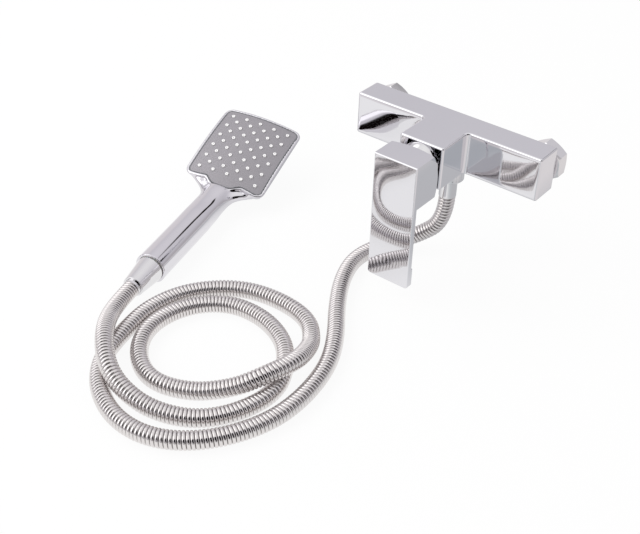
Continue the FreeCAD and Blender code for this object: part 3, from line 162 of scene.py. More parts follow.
# Octaves of the noise that makes the patches, and of the one that makes the grain.
PATCH_OCTAVES = 3.0
GRAIN_OCTAVES = 2.0

# Share of the noise at which a patch starts to be rubbed, and at which it is rubbed fully.
RUBBED = (0.35, 0.7)

# Share of a groove's depth at which its painted shade starts, and at which that shade is full.
PAINTED_SHADE_SPAN = (0.4, 0.95)


@dataclass(frozen=True)
class Finish:
    """One real finish: its colour varies faintly, its gloss is faintly worn, and it isn't quite flat.

    Attributes:
        name: The material's name.
        colour: Its colour as sRGB hex.
        varied: The colour that its patches lean to.
        metallic: One for a metal.
        roughness: Its usual roughness.
        rub: How much rougher its rubbed patches are.
        patch_mm: Size of those patches.
        grain_mm: Size of the surface's grain or waves.
        relief_mm: Height of the grain.
        specular: Its specular level, where it isn't a metal.
        subsurface: How much light goes into it.
        painted_groove_shade: Colour of the painted shade that its grooves darken to, on a piece with a
            groove attribute.
    """

    name: str
    colour: str
    varied: str
    metallic: float = 0.0
    roughness: float = 0.4
    rub: float = 0.05
    patch_mm: float = 20.0
    grain_mm: float = 1.0
    relief_mm: float = 0.0
    specular: float = 0.5
    subsurface: float = 0.0
    painted_groove_shade: str | None = None

    def material(self) -> bpy.types.Material:
        """Builds the finish as a material.

        Returns:
            The new material.
        """
        made = bpy.data.materials.new(self.name)
        made.use_nodes = True
        tree = made.node_tree
        tree.nodes.clear()
        place = add_node(tree, "ShaderNodeTexCoord").outputs["Object"]
        patch = add_node(tree, "ShaderNodeTexNoise",
                         {"Scale": 1.0 / (self.patch_mm * MM), "Detail": PATCH_OCTAVES},
                         {"Vector": place}).outputs["Fac"]
        colour = add_node(tree, "ShaderNodeMix",
                          {"data_type": "RGBA", 6: linear(self.colour), 7: linear(self.varied)},
                          {0: patch}).outputs[2]
        # Painted shade: the colour darkens towards the bottom of each groove, where shade falls.
        if self.painted_groove_shade:
            depth = add_node(tree, "ShaderNodeAttribute", {"attribute_name": "groove"}).outputs["Fac"]
            share = add_node(tree, "ShaderNodeMapRange",
                             {"From Min": PAINTED_SHADE_SPAN[0], "From Max": PAINTED_SHADE_SPAN[1]},
                             {"Value": depth}).outputs["Result"]
            colour = add_node(tree, "ShaderNodeMix", {"data_type": "RGBA", 7: linear(self.painted_groove_shade)},
                              {0: share, 6: colour}).outputs[2]
        gloss = add_node(tree, "ShaderNodeMapRange",
                         {"From Min": RUBBED[0], "From Max": RUBBED[1],
                          "To Min": self.roughness, "To Max": self.roughness + self.rub},
                         {"Value": patch}).outputs["Result"]
        links = {"Base Color": colour, "Roughness": gloss}
        if self.relief_mm:
            grain = add_node(tree, "ShaderNodeTexNoise",
                             {"Scale": 1.0 / (self.grain_mm * MM), "Detail": GRAIN_OCTAVES},
                             {"Vector": place}).outputs["Fac"]
            links["Normal"] = add_node(tree, "ShaderNodeBump",
                                       {"Strength": 1.0, "Distance": self.relief_mm * MM},
                                       {"Height": grain}).outputs["Normal"]
        shader = add_node(tree, "ShaderNodeBsdfPrincipled",
                          {"Metallic": self.metallic, "Specular IOR Level": self.specular,
                           "Subsurface Weight": self.subsurface, "Subsurface Scale": 1.0 * MM}, links)
        add_node(tree, "ShaderNodeOutputMaterial", {}, {"Surface": shader.outputs["BSDF"]})
        return made


# Each finish is named for the real one. Its comment says what that gives the eye. The numbers
# are the finish's metallic, roughness, rub, patch_mm, grain_mm and relief_mm, and the acetal's
# specular and subsurface too.
FINISHES = {
    # Nickel and chrome on polished cast brass: a cool, near-perfect mirror that waves a little on
    # flat faces.
    Slot.CHROME_BODY: Finish("chrome_on_cast_brass", "#E2E1E5", "#E5E4E7",
                             1.0, 0.03, 0.03, 35.0, 14.0, 0.003),
    # The same plating on turned nuts and collars, a touch brighter where the tool left it flat.
    Slot.CHROME_TRIM: Finish("chrome_on_turned_brass", "#E2E1E3", "#E6E5E6",
                             1.0, 0.04, 0.03, 12.0, 6.0, 0.002),
    # Unplated brass as cut: yellow, with dull patches.
    Slot.BRASS_RAW: Finish("machined_brass", "#C9A45C", "#B8904A", 1.0, 0.28, 0.12, 6.0, 0.5, 0.01),
    # Nitrile rubber: black and matt.
    Slot.RUBBER_BLACK: Finish("nitrile_rubber", "#1B1B1C", "#242425",
                              0.0, 0.6, 0.15, 3.0, 0.4, 0.02),
    # Silicone rubber gasket: grey and matt.
    Slot.RUBBER_GREY: Finish("grey_silicone_rubber", "#6E7073", "#7A7B7E",
                             0.0, 0.55, 0.15, 3.0, 0.4, 0.02),
    # Etched stainless filter: thin, grey and satin.
    Slot.FILTER_MESH: Finish("etched_stainless", "#A9ABAD", "#9C9EA0",
                             1.0, 0.35, 0.1, 2.0, 0.3, 0.01),
    # Lapped alumina: white, dense and glossy.
    Slot.CERAMIC_DISC: Finish("lapped_alumina", "#ECEBE4", "#E3E1D8",
                              0.0, 0.15, 0.08, 4.0, 0.3, 0.002),
    # Moulded acetal: milky white with a soft shine.
    Slot.ACETAL_WHITE: Finish("moulded_acetal", "#E9E8E2", "#E0DFD8",
                              0.0, 0.35, 0.1, 5.0, 0.5, 0.01, 0.5, 0.1),
    # Glass-filled nylon: grey with a dull grain.
    Slot.NYLON_GREY: Finish("glass_filled_nylon", "#77797C", "#6A6C70",
                            0.0, 0.5, 0.12, 2.0, 0.4, 0.02),
    # Drawn spring steel wire: bright grey.
    Slot.STEEL_SPRING: Finish("drawn_spring_steel", "#B4B5B8", "#A4A5A8",
                              1.0, 0.25, 0.1, 1.0, 0.3, 0.004),
    # Rolled and polished stainless strip: bright, with a softer shine than the plating.
    # The slits between its turns are darkened with painted shade.
    Slot.HOSE_METAL: Finish("polished_stainless_strip", "#E6E2E1", "#DDD9D8",
                            1.0, 0.05, 0.03, 9.0, 1.6, 0.002,
                            painted_groove_shade="#1E1A1A"),
    # Chrome on moulded ABS: the same mirror, faintly lavender, with the long soft waves of a moulding.
    Slot.CHROMED_PLASTIC: Finish("chrome_on_abs", "#DDDBE0", "#E1DFE3",
                                 1.0, 0.035, 0.03, 30.0, 18.0, 0.004),
    # Satin lacquer on a moulded plate: a flat mid grey with fine metal flake.
    Slot.FACEPLATE_GREY: Finish("satin_grey_lacquer", "#98959A", "#A19DA1",
                                0.35, 0.38, 0.06, 40.0, 0.35, 0.006),
    # Moulded silicone nozzles: white and soft.
    Slot.SILICONE_WHITE: Finish("white_silicone", "#FBFAF9", "#F4F2F1",
                                0.0, 0.45, 0.1, 2.0, 0.4, 0.005),
}


class FinishShop:
    """Makes each finish once and hands it out."""

    def __init__(self) -> None:
        """Starts with no materials made."""
        self.made: dict[Slot, bpy.types.Material] = {}

    def of(self, slot: Slot) -> bpy.types.Material:
        """Gives the material of a slot.

        Args:
            slot: The record's slot.

        Returns:
            The material, made on its first use.
        """
        if slot not in self.made:
            self.made[slot] = FINISHES[slot].material()
        return self.made[slot]


def slots_by_node() -> dict[str, Slot]:
    """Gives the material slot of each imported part.

    Returns:
        The slots, by the part's name.
    """
    return {row["node"]: Slot(row["material_slot"]) for row in frame["record"]["subparts"]}


@dataclass
class PackedParts:
    """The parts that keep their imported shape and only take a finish.

    Attributes:
        shop: Hands out the materials.
    """

    shop: FinishShop

    def dress(self) -> None:
        """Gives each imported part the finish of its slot."""
        slots = slots_by_node()
        for name, part in frame["nodes"].items():
            part.data.materials.clear()
            part.data.materials.append(self.shop.of(slots[name]))
        log.info("dressed %d packed parts", len(frame["nodes"]))


@dataclass(frozen=True)
class Bow:
    """A flat front face that its polishing has bowed outwards by a fraction of a millimetre.

    A face bowed like this bends what it mirrors, as it does in the photograph.

    Attributes:
        part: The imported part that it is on.
        across: Its left and right ends.
        along: Its bottom and top ends.
        rise: How far its middle stands out.
        fall: Power with which it falls off towards the top and the bottom.
        strips: Strips that it is cut into, across and along.
        square: How squarely a face of it is turned to the front, as a cosine.
        flatness: How far a point may be off its plane.
        on_cut: Points that are closer than this to a cut lie on it.
    """

    part: str
    across: tuple[float, float]
    along: tuple[float, float]
    rise: float
    fall: float
    strips: tuple[int, int]
    square: float = 0.999
    flatness: float = 0.01 * MM
    on_cut: float = 0.0001 * MM

    def inside(self, face: bmesh.types.BMFace) -> bool:
        """Tells whether a face is turned to the front, within the ends.

        Args:
            face: One face of the part.

        Returns:
            True if it is.
        """
        middle = face.calc_center_median()
        return (face.normal.y < -self.square and self.across[0] < middle.x < self.across[1]
                and self.along[0] < middle.z < self.along[1])

    def cuts(self) -> list[tuple[Vector, Vector]]:
        """Places the cuts between the strips, the ends among them.

        Returns:
            A point and a direction for each cut.
        """
        found = []
        for ends, count, normal in ((self.across, self.strips[0], Vector((1.0, 0.0, 0.0))),
                                    (self.along, self.strips[1], Vector((0.0, 0.0, 1.0)))):
            found += [(normal * (ends[0] + (ends[1] - ends[0]) * i / count), normal)
                      for i in range(count + 1)]
        return found

    def press(self, bm: bmesh.types.BMesh) -> None:
        """Cuts the face into strips and bows it.

        Args:
            bm: The part's faces.
        """
        largest = max(filter(self.inside, bm.faces), key=lambda face: face.calc_area())
        front = largest.calc_center_median().y
        flat = [face for face in filter(self.inside, bm.faces)
                if abs(face.calc_center_median().y - front) < self.flatness]
        bmesh.ops.dissolve_faces(bm, faces=flat, use_verts=False)
        for place, normal in self.cuts():
            faces = [face for face in bm.faces if face.normal.y < -self.square
                     and abs(face.calc_center_median().y - front) < self.flatness]
            edges = {edge for face in faces for edge in face.edges}
            verts = {vert for face in faces for vert in face.verts}
            bmesh.ops.bisect_plane(bm, geom=[*verts, *edges, *faces], dist=self.on_cut,
                                   plane_co=place, plane_no=normal)
        for vert in bm.verts:
            x = 2.0 * (vert.co.x - self.across[0]) / (self.across[1] - self.across[0]) - 1.0
            z = 2.0 * (vert.co.z - self.along[0]) / (self.along[1] - self.along[0]) - 1.0
            if abs(vert.co.y - front) < self.flatness and abs(x) < 1.0 and abs(z) < 1.0:
                vert.co.y -= self.rise * (1.0 - x * x) * (1.0 - abs(z) ** self.fall)


# The lever's face, and the bar's front on each side of the boss.
BOWS = (
    Bow("lever_handle", across=(-0.01875, 0.01875), along=(-0.0794, 0.0156),
        rise=0.0006, fall=2.0, strips=(16, 36)),
    Bow("tap_body", across=(-0.0862, -0.0243), along=(-0.0176, 0.0176),
        rise=0.0004, fall=8.0, strips=(24, 16)),
    Bow("tap_body", across=(0.0243, 0.0862), along=(-0.0176, 0.0176),
        rise=0.0004, fall=8.0, strips=(24, 16)),
)


@dataclass
class PolishedParts:
    """Visible plated pieces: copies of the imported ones, merged, with smooth fillets and flat faces.

    Attributes:
        shop: Hands out the materials.
        names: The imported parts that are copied.
        crease: Edges sharper than this stay sharp, in degrees.
    """

    shop: FinishShop
    names: tuple[str, ...] = ("tap_body", "lever_handle", "dome_collar", "union_nut_hot",
                              "union_nut_cold", "hose_nut", "hose_cone_nut", "hose_ferrule_tap",
                              "hose_ferrule_handset", "faceplate")
    crease: float = 38.0

    def polish(self, name: str, body: str, slot: Slot) -> bpy.types.Object:
        """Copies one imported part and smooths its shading.

        Args:
            name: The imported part.
            body: The body that it rides on.
            slot: Its material slot.

        Returns:
            The finished piece.
        """
        bm = bmesh.new()
        bm.from_mesh(frame["nodes"][name].data)
        bmesh.ops.remove_doubles(bm, verts=bm.verts, dist=SAME_POINT)
        bmesh.ops.dissolve_degenerate(bm, edges=bm.edges, dist=SAME_POINT)
        for bow in BOWS:
            if bow.part == name:
                bow.press(bm)
        limit = math.radians(self.crease)
        for face in bm.faces:
            face.smooth = True
        for edge in bm.edges:
            edge.smooth = edge.is_manifold and edge.calc_face_angle(math.pi) < limit
        mesh = bpy.data.meshes.new(f"{name}_polished")
        bm.to_mesh(mesh)
        bm.free()
        mesh.materials.append(self.shop.of(slot))
        piece = in_scene(f"{name}_polished", mesh)
        flats = piece.modifiers.new("flat_faces", "WEIGHTED_NORMAL")
        flats.keep_sharp = True
        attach(piece, body)
        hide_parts(name)
        return piece

    def build(self) -> None:
        """Copies every piece of the list."""
        slots = slots_by_node()
        rows = frame["record"]["behaviour"]["bodies"]
        bodies = {node: body for body, nodes in rows.items() for node in nodes}
        for name in self.names:
            self.polish(name, bodies[name], slots[name])
            log.info("polished %s", name)


@dataclass
class PlateGapShade:
    """Grey ring in the rubber finish, laid between the head's rim and the faceplate as painted shade
    for the shadow in that gap.

    Attributes:
        shop: Hands out the material.
        plate: The dressed faceplate that it runs round.
        half_width: Half its width.
        rounding: Steps in a quarter of its section.
        turns: How the face lies: its tilt, roll and heading, in degrees.
        front_side: How squarely a face of the plate's front is turned that way, as a cosine.
    """

    shop: FinishShop
    plate: bpy.types.Object
    half_width: float = 0.00045
    rounding: int = 2
    turns: tuple[float, float, float] = (16.2, 7.5, 15.25)
    front_side: float = 0.7

    def edge_loop(self) -> list[Vector]:
        """Finds the outer edge of the plate's front.

        Returns:
            Its points, in order.
        """
        tilt, roll, heading = (math.radians(turn) for turn in self.turns)
        front = (Matrix.Rotation(heading, 3, "Z") @ Matrix.Rotation(roll, 3, "Y")
                 @ Matrix.Rotation(tilt, 3, "X") @ Vector((0.0, 0.0, 1.0)))
        bm = bmesh.new()
        bm.from_mesh(self.plate.data)
        edges = {edge for edge in bm.edges if len(edge.link_faces) == 2
                 and sum(face.normal.dot(front) > self.front_side for face in edge.link_faces) == 1}
        loops = []
        while edges:
            edge = min(edges, key=lambda one: one.index)
            edges.remove(edge)
            loop, end = [edge.verts[0], edge.verts[1]], edge.verts[1]
            while True:
                following = next((e for e in end.link_edges if e in edges), None)
                if following is None:
                    break
                edges.remove(following)
                end = following.other_vert(end)
                loop.append(end)
            loops.append([vert.co.copy() for vert in loop[:-1]])
        bm.free()
        return max(loops, key=lambda loop: sum((b - a).length for a, b in zip(loop, loop[1:])))

    def build(self) -> bpy.types.Object:
        """Runs the ring of painted shade along that edge.

        Returns:
            The finished ring of painted shade.
        """
        # Painted shade: a grey ring put in the shaded gap round the plate.
        loop = self.edge_loop()
        data = bpy.data.curves.new("lip", "CURVE")
        data.dimensions = "3D"
        data.bevel_depth = self.half_width
        data.bevel_resolution = self.rounding
        spline = data.splines.new("POLY")
        spline.points.add(len(loop) - 1)
        for point, place in zip(spline.points, loop):
            point.co = (*place, 1.0)
        spline.use_cyclic_u = True
        curve = in_scene("lip", data)
        mesh = bpy.data.meshes.new_from_object(curve)
        bpy.data.objects.remove(curve)
        mesh.name = "faceplate_gap_shade"
        mesh.materials.clear()
        mesh.materials.append(self.shop.of(Slot.RUBBER_GREY))
        lip = in_scene("faceplate_gap_shade", mesh)
        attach(lip, "handset")
        log.info("lip: %d points", len(loop))
        return lip


@dataclass
class MouldedShell:
    """The hand shower's shell: one moulding, its handle, wings and head blended in soft curves.

    Attributes:
        shop: Hands out the material.
        node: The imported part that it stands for.
        voxel: Size of the even faces that it is rebuilt from.
        rear: Middle of the handle's rear end.
        along: The handle's direction.
        neck: Where the neck's soft part starts and ends along the handle.
        fade: Length over which the softening fades out at both ends.
        even_passes: Smoothing passes all over.
        neck_passes: Further passes at the middle of the neck.
        pull: How far a pass moves each point towards the middle of its neighbours.
        radius: The handle's radius over its round part.
        round_part: Length of that part.
        rear_round: Radius of its edge at the rear end.
        wall: Least thickness of the wall there, which tells its outside from its bore.
    """

    shop: FinishShop
    node: str = "handset_shell"
    voxel: float = 0.0008
    rear: tuple[float, float, float] = (-0.16522, -0.21973, -0.1021)
    along: tuple[float, float, float] = (-0.263031, 0.964787, 0.0)
    neck: tuple[float, float] = (0.090, 0.121)
    fade: float = 0.010
    even_passes: int = 6
    neck_passes: int = 30
    pull: float = 0.5
    radius: float = 0.0139
    round_part: float = 0.054
    rear_round: float = 0.0007
    wall: float = 0.0012

    def even_mesh(self) -> bpy.types.Mesh:
        """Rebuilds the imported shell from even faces.

        Returns:
            The new mesh.
        """
        bm = bmesh.new()
        bm.from_mesh(frame["nodes"][self.node].data)
        bmesh.ops.remove_doubles(bm, verts=bm.verts, dist=SAME_POINT)
        rough = bpy.data.meshes.new("rough")
        bm.to_mesh(rough)
        bm.free()
        form = in_scene("form", rough)
        even = form.modifiers.new("even", "REMESH")
        even.mode = "VOXEL"
        even.voxel_size = self.voxel
        mesh = without_modifiers(form)
        bpy.data.objects.remove(form)
        bpy.data.meshes.remove(rough)
        return mesh

    def softness(self, place: Vector) -> float:
        """Tells how much of the neck's smoothing a place gets, from none to all.

        Args:
            place: The place.

        Returns:
            A share between zero and one.
        """
        reach = (place - Vector(self.rear)).dot(Vector(self.along))
        start, end = self.neck
        inside = min(reach - start, end - reach)
        return min(max(inside / self.fade + 1.0, 0.0), 1.0)

    def relax(self, bm: bmesh.types.BMesh, verts: Iterable[bmesh.types.BMVert]) -> None:
        """Does one smoothing pass.

        Args:
            bm: The shell.
            verts: The points of it that may move.
        """
        bmesh.ops.smooth_vert(bm, verts=verts, factor=self.pull,
                              use_axis_x=True, use_axis_y=True, use_axis_z=True)

    def soften(self, bm: bmesh.types.BMesh) -> None:
        """Smooths the shell a little all over, and its neck much more.

        Args:
            bm: The evenly faced shell.
        """
        for _ in range(self.even_passes):
            self.relax(bm, bm.verts)
        shares = {vert: self.softness(vert.co) for vert in bm.verts}
        for turn in range(self.neck_passes):
            self.relax(bm, [vert for vert, share in shares.items() if share * self.neck_passes > turn])

    def true_up(self, bm: bmesh.types.BMesh) -> None:
        """Puts the outside of the handle's round part back on its exact radius, its end rounded.

        Args:
            bm: The smoothed shell.
        """
        rear, along = Vector(self.rear), Vector(self.along)
        for vert in bm.verts:
            reach = (vert.co - rear).dot(along)
            out = vert.co - rear - along * reach
            if reach > self.round_part or out.length < self.radius - self.wall:
                continue
            short = max(self.rear_round - max(reach, 0.0), 0.0)
            exact = self.radius - self.rear_round + math.sqrt(self.rear_round ** 2 - short ** 2)
            share = min((self.round_part - reach) / self.fade, 1.0)
            length = out.length + (exact - out.length) * share
            vert.co = rear + along * max(reach, 0.0) + out.normalized() * length

    def build(self) -> bpy.types.Object:
        """Rebuilds and smooths the shell.

        Returns:
            The finished shell.
        """
        mesh = self.even_mesh()
        bm = bmesh.new()
        bm.from_mesh(mesh)
        self.soften(bm)
        self.true_up(bm)
        for face in bm.faces:
            face.smooth = True
        bm.to_mesh(mesh)
        bm.free()
        mesh.name = "handset_shell_moulded"
        mesh.materials.clear()
        mesh.materials.append(self.shop.of(Slot.CHROMED_PLASTIC))
        shell = in_scene("handset_shell_moulded", mesh)
        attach(shell, "handset")
        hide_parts(self.node)
        log.info("shell: %d faces", len(mesh.polygons))
        return shell


# Route of the hose, the same points as in the parts' source: from the tap's sleeve to the hand
# shower's sleeve. LYING is the hose's middle where it lies flat, and OVER is how much higher it
# is where it passes over itself.
LYING = FLOOR_Z + 0.0072
OVER = 0.0155
HOSE_ROUTE = (
    (0.0, -0.026, -0.054),
    (0.0, -0.026, -0.081),
    (-0.020, -0.035, -0.100),
    (-0.042, -0.057, LYING),
    (-0.049, -0.088, LYING),
    (-0.039, -0.120, LYING),
    (-0.020, -0.152, LYING),
    (0.006, -0.187, LYING),
    (0.0215, -0.218, LYING),
    (0.0285, -0.258, LYING),
    (0.025, -0.294, LYING),
    (0.006, -0.331, LYING),
    (-0.024, -0.355, LYING),
    (-0.060, -0.359, LYING),
    (-0.095, -0.344, LYING),
    (-0.118, -0.319, LYING),
    (-0.128, -0.287, LYING),
    (-0.135, -0.250, LYING),
    (-0.125, -0.213, LYING),
    (-0.096, -0.184, LYING),
    (-0.060, -0.176, LYING),
    (-0.026, -0.181, LYING),
    (-0.007, -0.200, LYING),
    (0.003, -0.222, LYING + 0.0075),
    (0.009, -0.244, LYING + OVER),
    (0.001, -0.271, LYING + OVER),
    (-0.013, -0.286, LYING + 0.007),
    (-0.039, -0.304, LYING),
    (-0.072, -0.314, LYING),
    (-0.102, -0.298, LYING),
    (-0.119, -0.268, LYING),
    (-0.114, -0.232, LYING),
    (-0.090, -0.206, LYING),
    (-0.057, -0.202, LYING),
    (-0.026, -0.213, LYING),
    (-0.006, -0.233, LYING),
    (0.009, -0.262, LYING),
    (0.003, -0.296, LYING),
    (-0.016, -0.323, LYING),
    (-0.048, -0.337, LYING + 0.0015),
    (-0.078, -0.338, LYING + 0.008),
    (-0.100, -0.330, LYING + OVER),
    (-0.126, -0.307, LYING + 0.017),
    (-0.149833, -0.276170, -0.1021),
    (-0.156935, -0.250121, -0.1021),
)


@dataclass
class RibbedHose:
    """The metal hose: a strip wound in ribs, bent along its route.

    Attributes:
        shop: Hands out the material.
        radius: Outer radius over the ribs.
        valley: Depth of the groove between two ribs.
        pitch: Length of one rib with its groove.
        around: Faces round the hose.
        fineness: Points of the line for each point of the route.
        crown: Stations across one rib, as shares of the pitch and of the valley's depth.
        seam: Points of neighbouring turns that are closer than this are joined.
    """

    shop: FinishShop
    radius: float = 0.0072
    valley: float = 0.0012
    pitch: float = 0.0030
    around: int = 24
    fineness: int = 48
    crown: tuple[tuple[float, float], ...] = ((0.0, 1.0), (0.09, 0.55), (0.18, 0.16), (0.34, 0.02),
                                              (0.62, 0.0), (0.82, 0.14), (0.92, 0.55))
    seam: float = 0.01 * MM

    def route(self) -> list[Vector]:
        """Draws the route as one smooth curve and reads its line.

        Returns:
            Points along the curve, from the tap to the hand shower.
        """
        data = bpy.data.curves.new("hose_route", "CURVE")
        data.dimensions = "3D"
        data.resolution_u = self.fineness
        spline = data.splines.new("NURBS")
        spline.points.add(len(HOSE_ROUTE) - 1)
        for point, place in zip(spline.points, HOSE_ROUTE):
            point.co = (*place, 1.0)
        spline.order_u = 3
        spline.use_endpoint_u = True
        curve = in_scene("hose_route", data)
        drawn = bpy.data.meshes.new_from_object(curve)
        line = [vertex.co.copy() for vertex in drawn.vertices]
        bpy.data.meshes.remove(drawn)
        bpy.data.objects.remove(curve)
        return line

    def one_turn(self, length: float) -> bpy.types.Mesh:
        """Winds one turn of the strip about the X axis, one rib wide.

        Args:
            length: The turn's advance along the hose.

        Returns:
            The turn's mesh, open all along its edges.
        """
        bm = bmesh.new()
        stations = [*self.crown, (1.0, 1.0)]
        verts = [bm.verts.new((share * length, 0.0, self.radius - depth * self.valley))
                 for share, depth in stations]
        edges = [bm.edges.new(pair) for pair in zip(verts, verts[1:])]
        bmesh.ops.spin(bm, geom=verts + edges, cent=(0, 0, 0), axis=(1, 0, 0),
                       dvec=(length / self.around, 0, 0), angle=math.tau, steps=self.around,
                       use_merge=False, use_duplicate=False)
        mesh = bpy.data.meshes.new("turn")
        bm.to_mesh(mesh)
        bm.free()
        return mesh

    def straight(self, total: float) -> bmesh.types.BMesh:
        """Repeats the turn over the hose's length and cuts both ends square.

        Args:
            total: The hose's length.

        Returns:
            The straight hose, closed at both ends.
        """
        turns = round(total / self.pitch)
        length = total / turns
        row = in_scene("row", self.one_turn(length))
        # Two turns more than the hose has, so that both ends can be cut square.
        again = row.modifiers.new("again", "ARRAY")
        again.use_relative_offset = False
        again.use_constant_offset = True
        again.constant_offset_displace = (length, 0.0, 0.0)
        again.count = turns + 2
        mesh = without_modifiers(row)
        bpy.data.objects.remove(row)
        bm = bmesh.new()
        bm.from_mesh(mesh)
        bpy.data.meshes.remove(mesh)
        bmesh.ops.translate(bm, verts=bm.verts, vec=(-length, 0.0, 0.0))
        bmesh.ops.remove_doubles(bm, verts=bm.verts, dist=self.seam)
        for end, side in ((0.0, -1.0), (total, 1.0)):
            bmesh.ops.bisect_plane(bm, geom=[*bm.verts, *bm.edges, *bm.faces], dist=self.seam,
                                   plane_co=(end, 0.0, 0.0), plane_no=(side, 0.0, 0.0),
                                   clear_outer=True)
        bmesh.ops.holes_fill(bm, edges=[edge for edge in bm.edges if edge.is_boundary], sides=0)
        bmesh.ops.recalc_face_normals(bm, faces=bm.faces)
        log.info("hose: %d turns over %.3f m", turns, total)
        return bm

    def bend(self, bm: bmesh.types.BMesh, line: list[Vector]) -> None:
        """Lays the straight hose along the line, without twist.

        Args:
            bm: The straight hose, along X.
            line: Points of the route.
        """
        last = len(line) - 1
        aims = [(line[min(i + 1, last)] - line[max(i - 1, 0)]).normalized() for i in range(last + 1)]
        across = [aims[0].orthogonal().normalized()]
        for before, after in zip(aims, aims[1:]):
            across.append((before.rotation_difference(after) @ across[-1]).normalized())
        reach = [0.0]
        for a, b in zip(line, line[1:]):
            reach.append(reach[-1] + (b - a).length)
        for vert in bm.verts:
            x, y, z = vert.co
            i = min(max(bisect.bisect_right(reach, x) - 1, 0), last - 1)
            share = min(max((x - reach[i]) / (reach[i + 1] - reach[i]), 0.0), 1.0)
            aim = aims[i].lerp(aims[i + 1], share).normalized()
            side = across[i].lerp(across[i + 1], share).normalized()
            vert.co = line[i].lerp(line[i + 1], share) + side * y + aim.cross(side) * z

    def build(self) -> bpy.types.Object:
        """Returns:
            The finished hose.
        """
        line = self.route()
        total = sum((b - a).length for a, b in zip(line, line[1:]))
        bm = self.straight(total)
        # The groove's depth, by which the hose's finish paints shade into its slits.
        depth = bm.verts.layers.float.new("groove")
        for vert in bm.verts:
            vert[depth] = (self.radius - math.hypot(vert.co.y, vert.co.z)) / self.valley
        self.bend(bm, line)
        # The two end caps have many corners and stay flat.
        for face in bm.faces:
            face.smooth = len(face.verts) <= 4
        mesh = bpy.data.meshes.new("ribbed_hose")
        bm.to_mesh(mesh)
        bm.free()
        mesh.materials.append(self.shop.of(Slot.HOSE_METAL))
        hose = in_scene("ribbed_hose", mesh)
        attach(hose, "tap")
        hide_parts("hose_tube")
        on_it = [bpy.data.objects[f"{name}_polished"] for name in
                 ("hose_ferrule_tap", "hose_ferrule_handset", "hose_nut", "hose_cone_nut")]
        on_it += [frame["nodes"][name] for name in ("hose_washer_tap", "hose_washer_handset")]
        return hose


@dataclass(frozen=True)
class Field:
    """A bright soft box, or a dark opening between them, as the metal sees it.

    Attributes:
        aim: The direction that it lies in.
        full: Half-width of its full part, in degrees.
        faded: Half-width at which it has faded out, in degrees.
        shade: Its colour as sRGB hex.
        strength: What that colour is multiplied by.
    """

    aim: tuple[float, float, float]
    full: float
    faded: float
    shade: str
    strength: float = 1.0


@dataclass(frozen=True)
class PaintedFloorShade:
    """Painted shade on a side of the floor, which the metal alone sees.

    Attributes:
        side: The axis that it goes by.
        near: Where it starts.
        far: Where it is full.
        shade: Its colour as sRGB hex.
    """

    side: str
    near: float
    far: float
    shade: str


@dataclass(frozen=True)
class SoftBox:
    """A lamp with a wide soft front.

    Attributes:
        name: The lamp's name.
        place: Where it hangs.
        size: Its width and height.
        power: Its power in watts.
    """

    name: str
    place: tuple[float, float, float]
    size: tuple[float, float]
    power: float


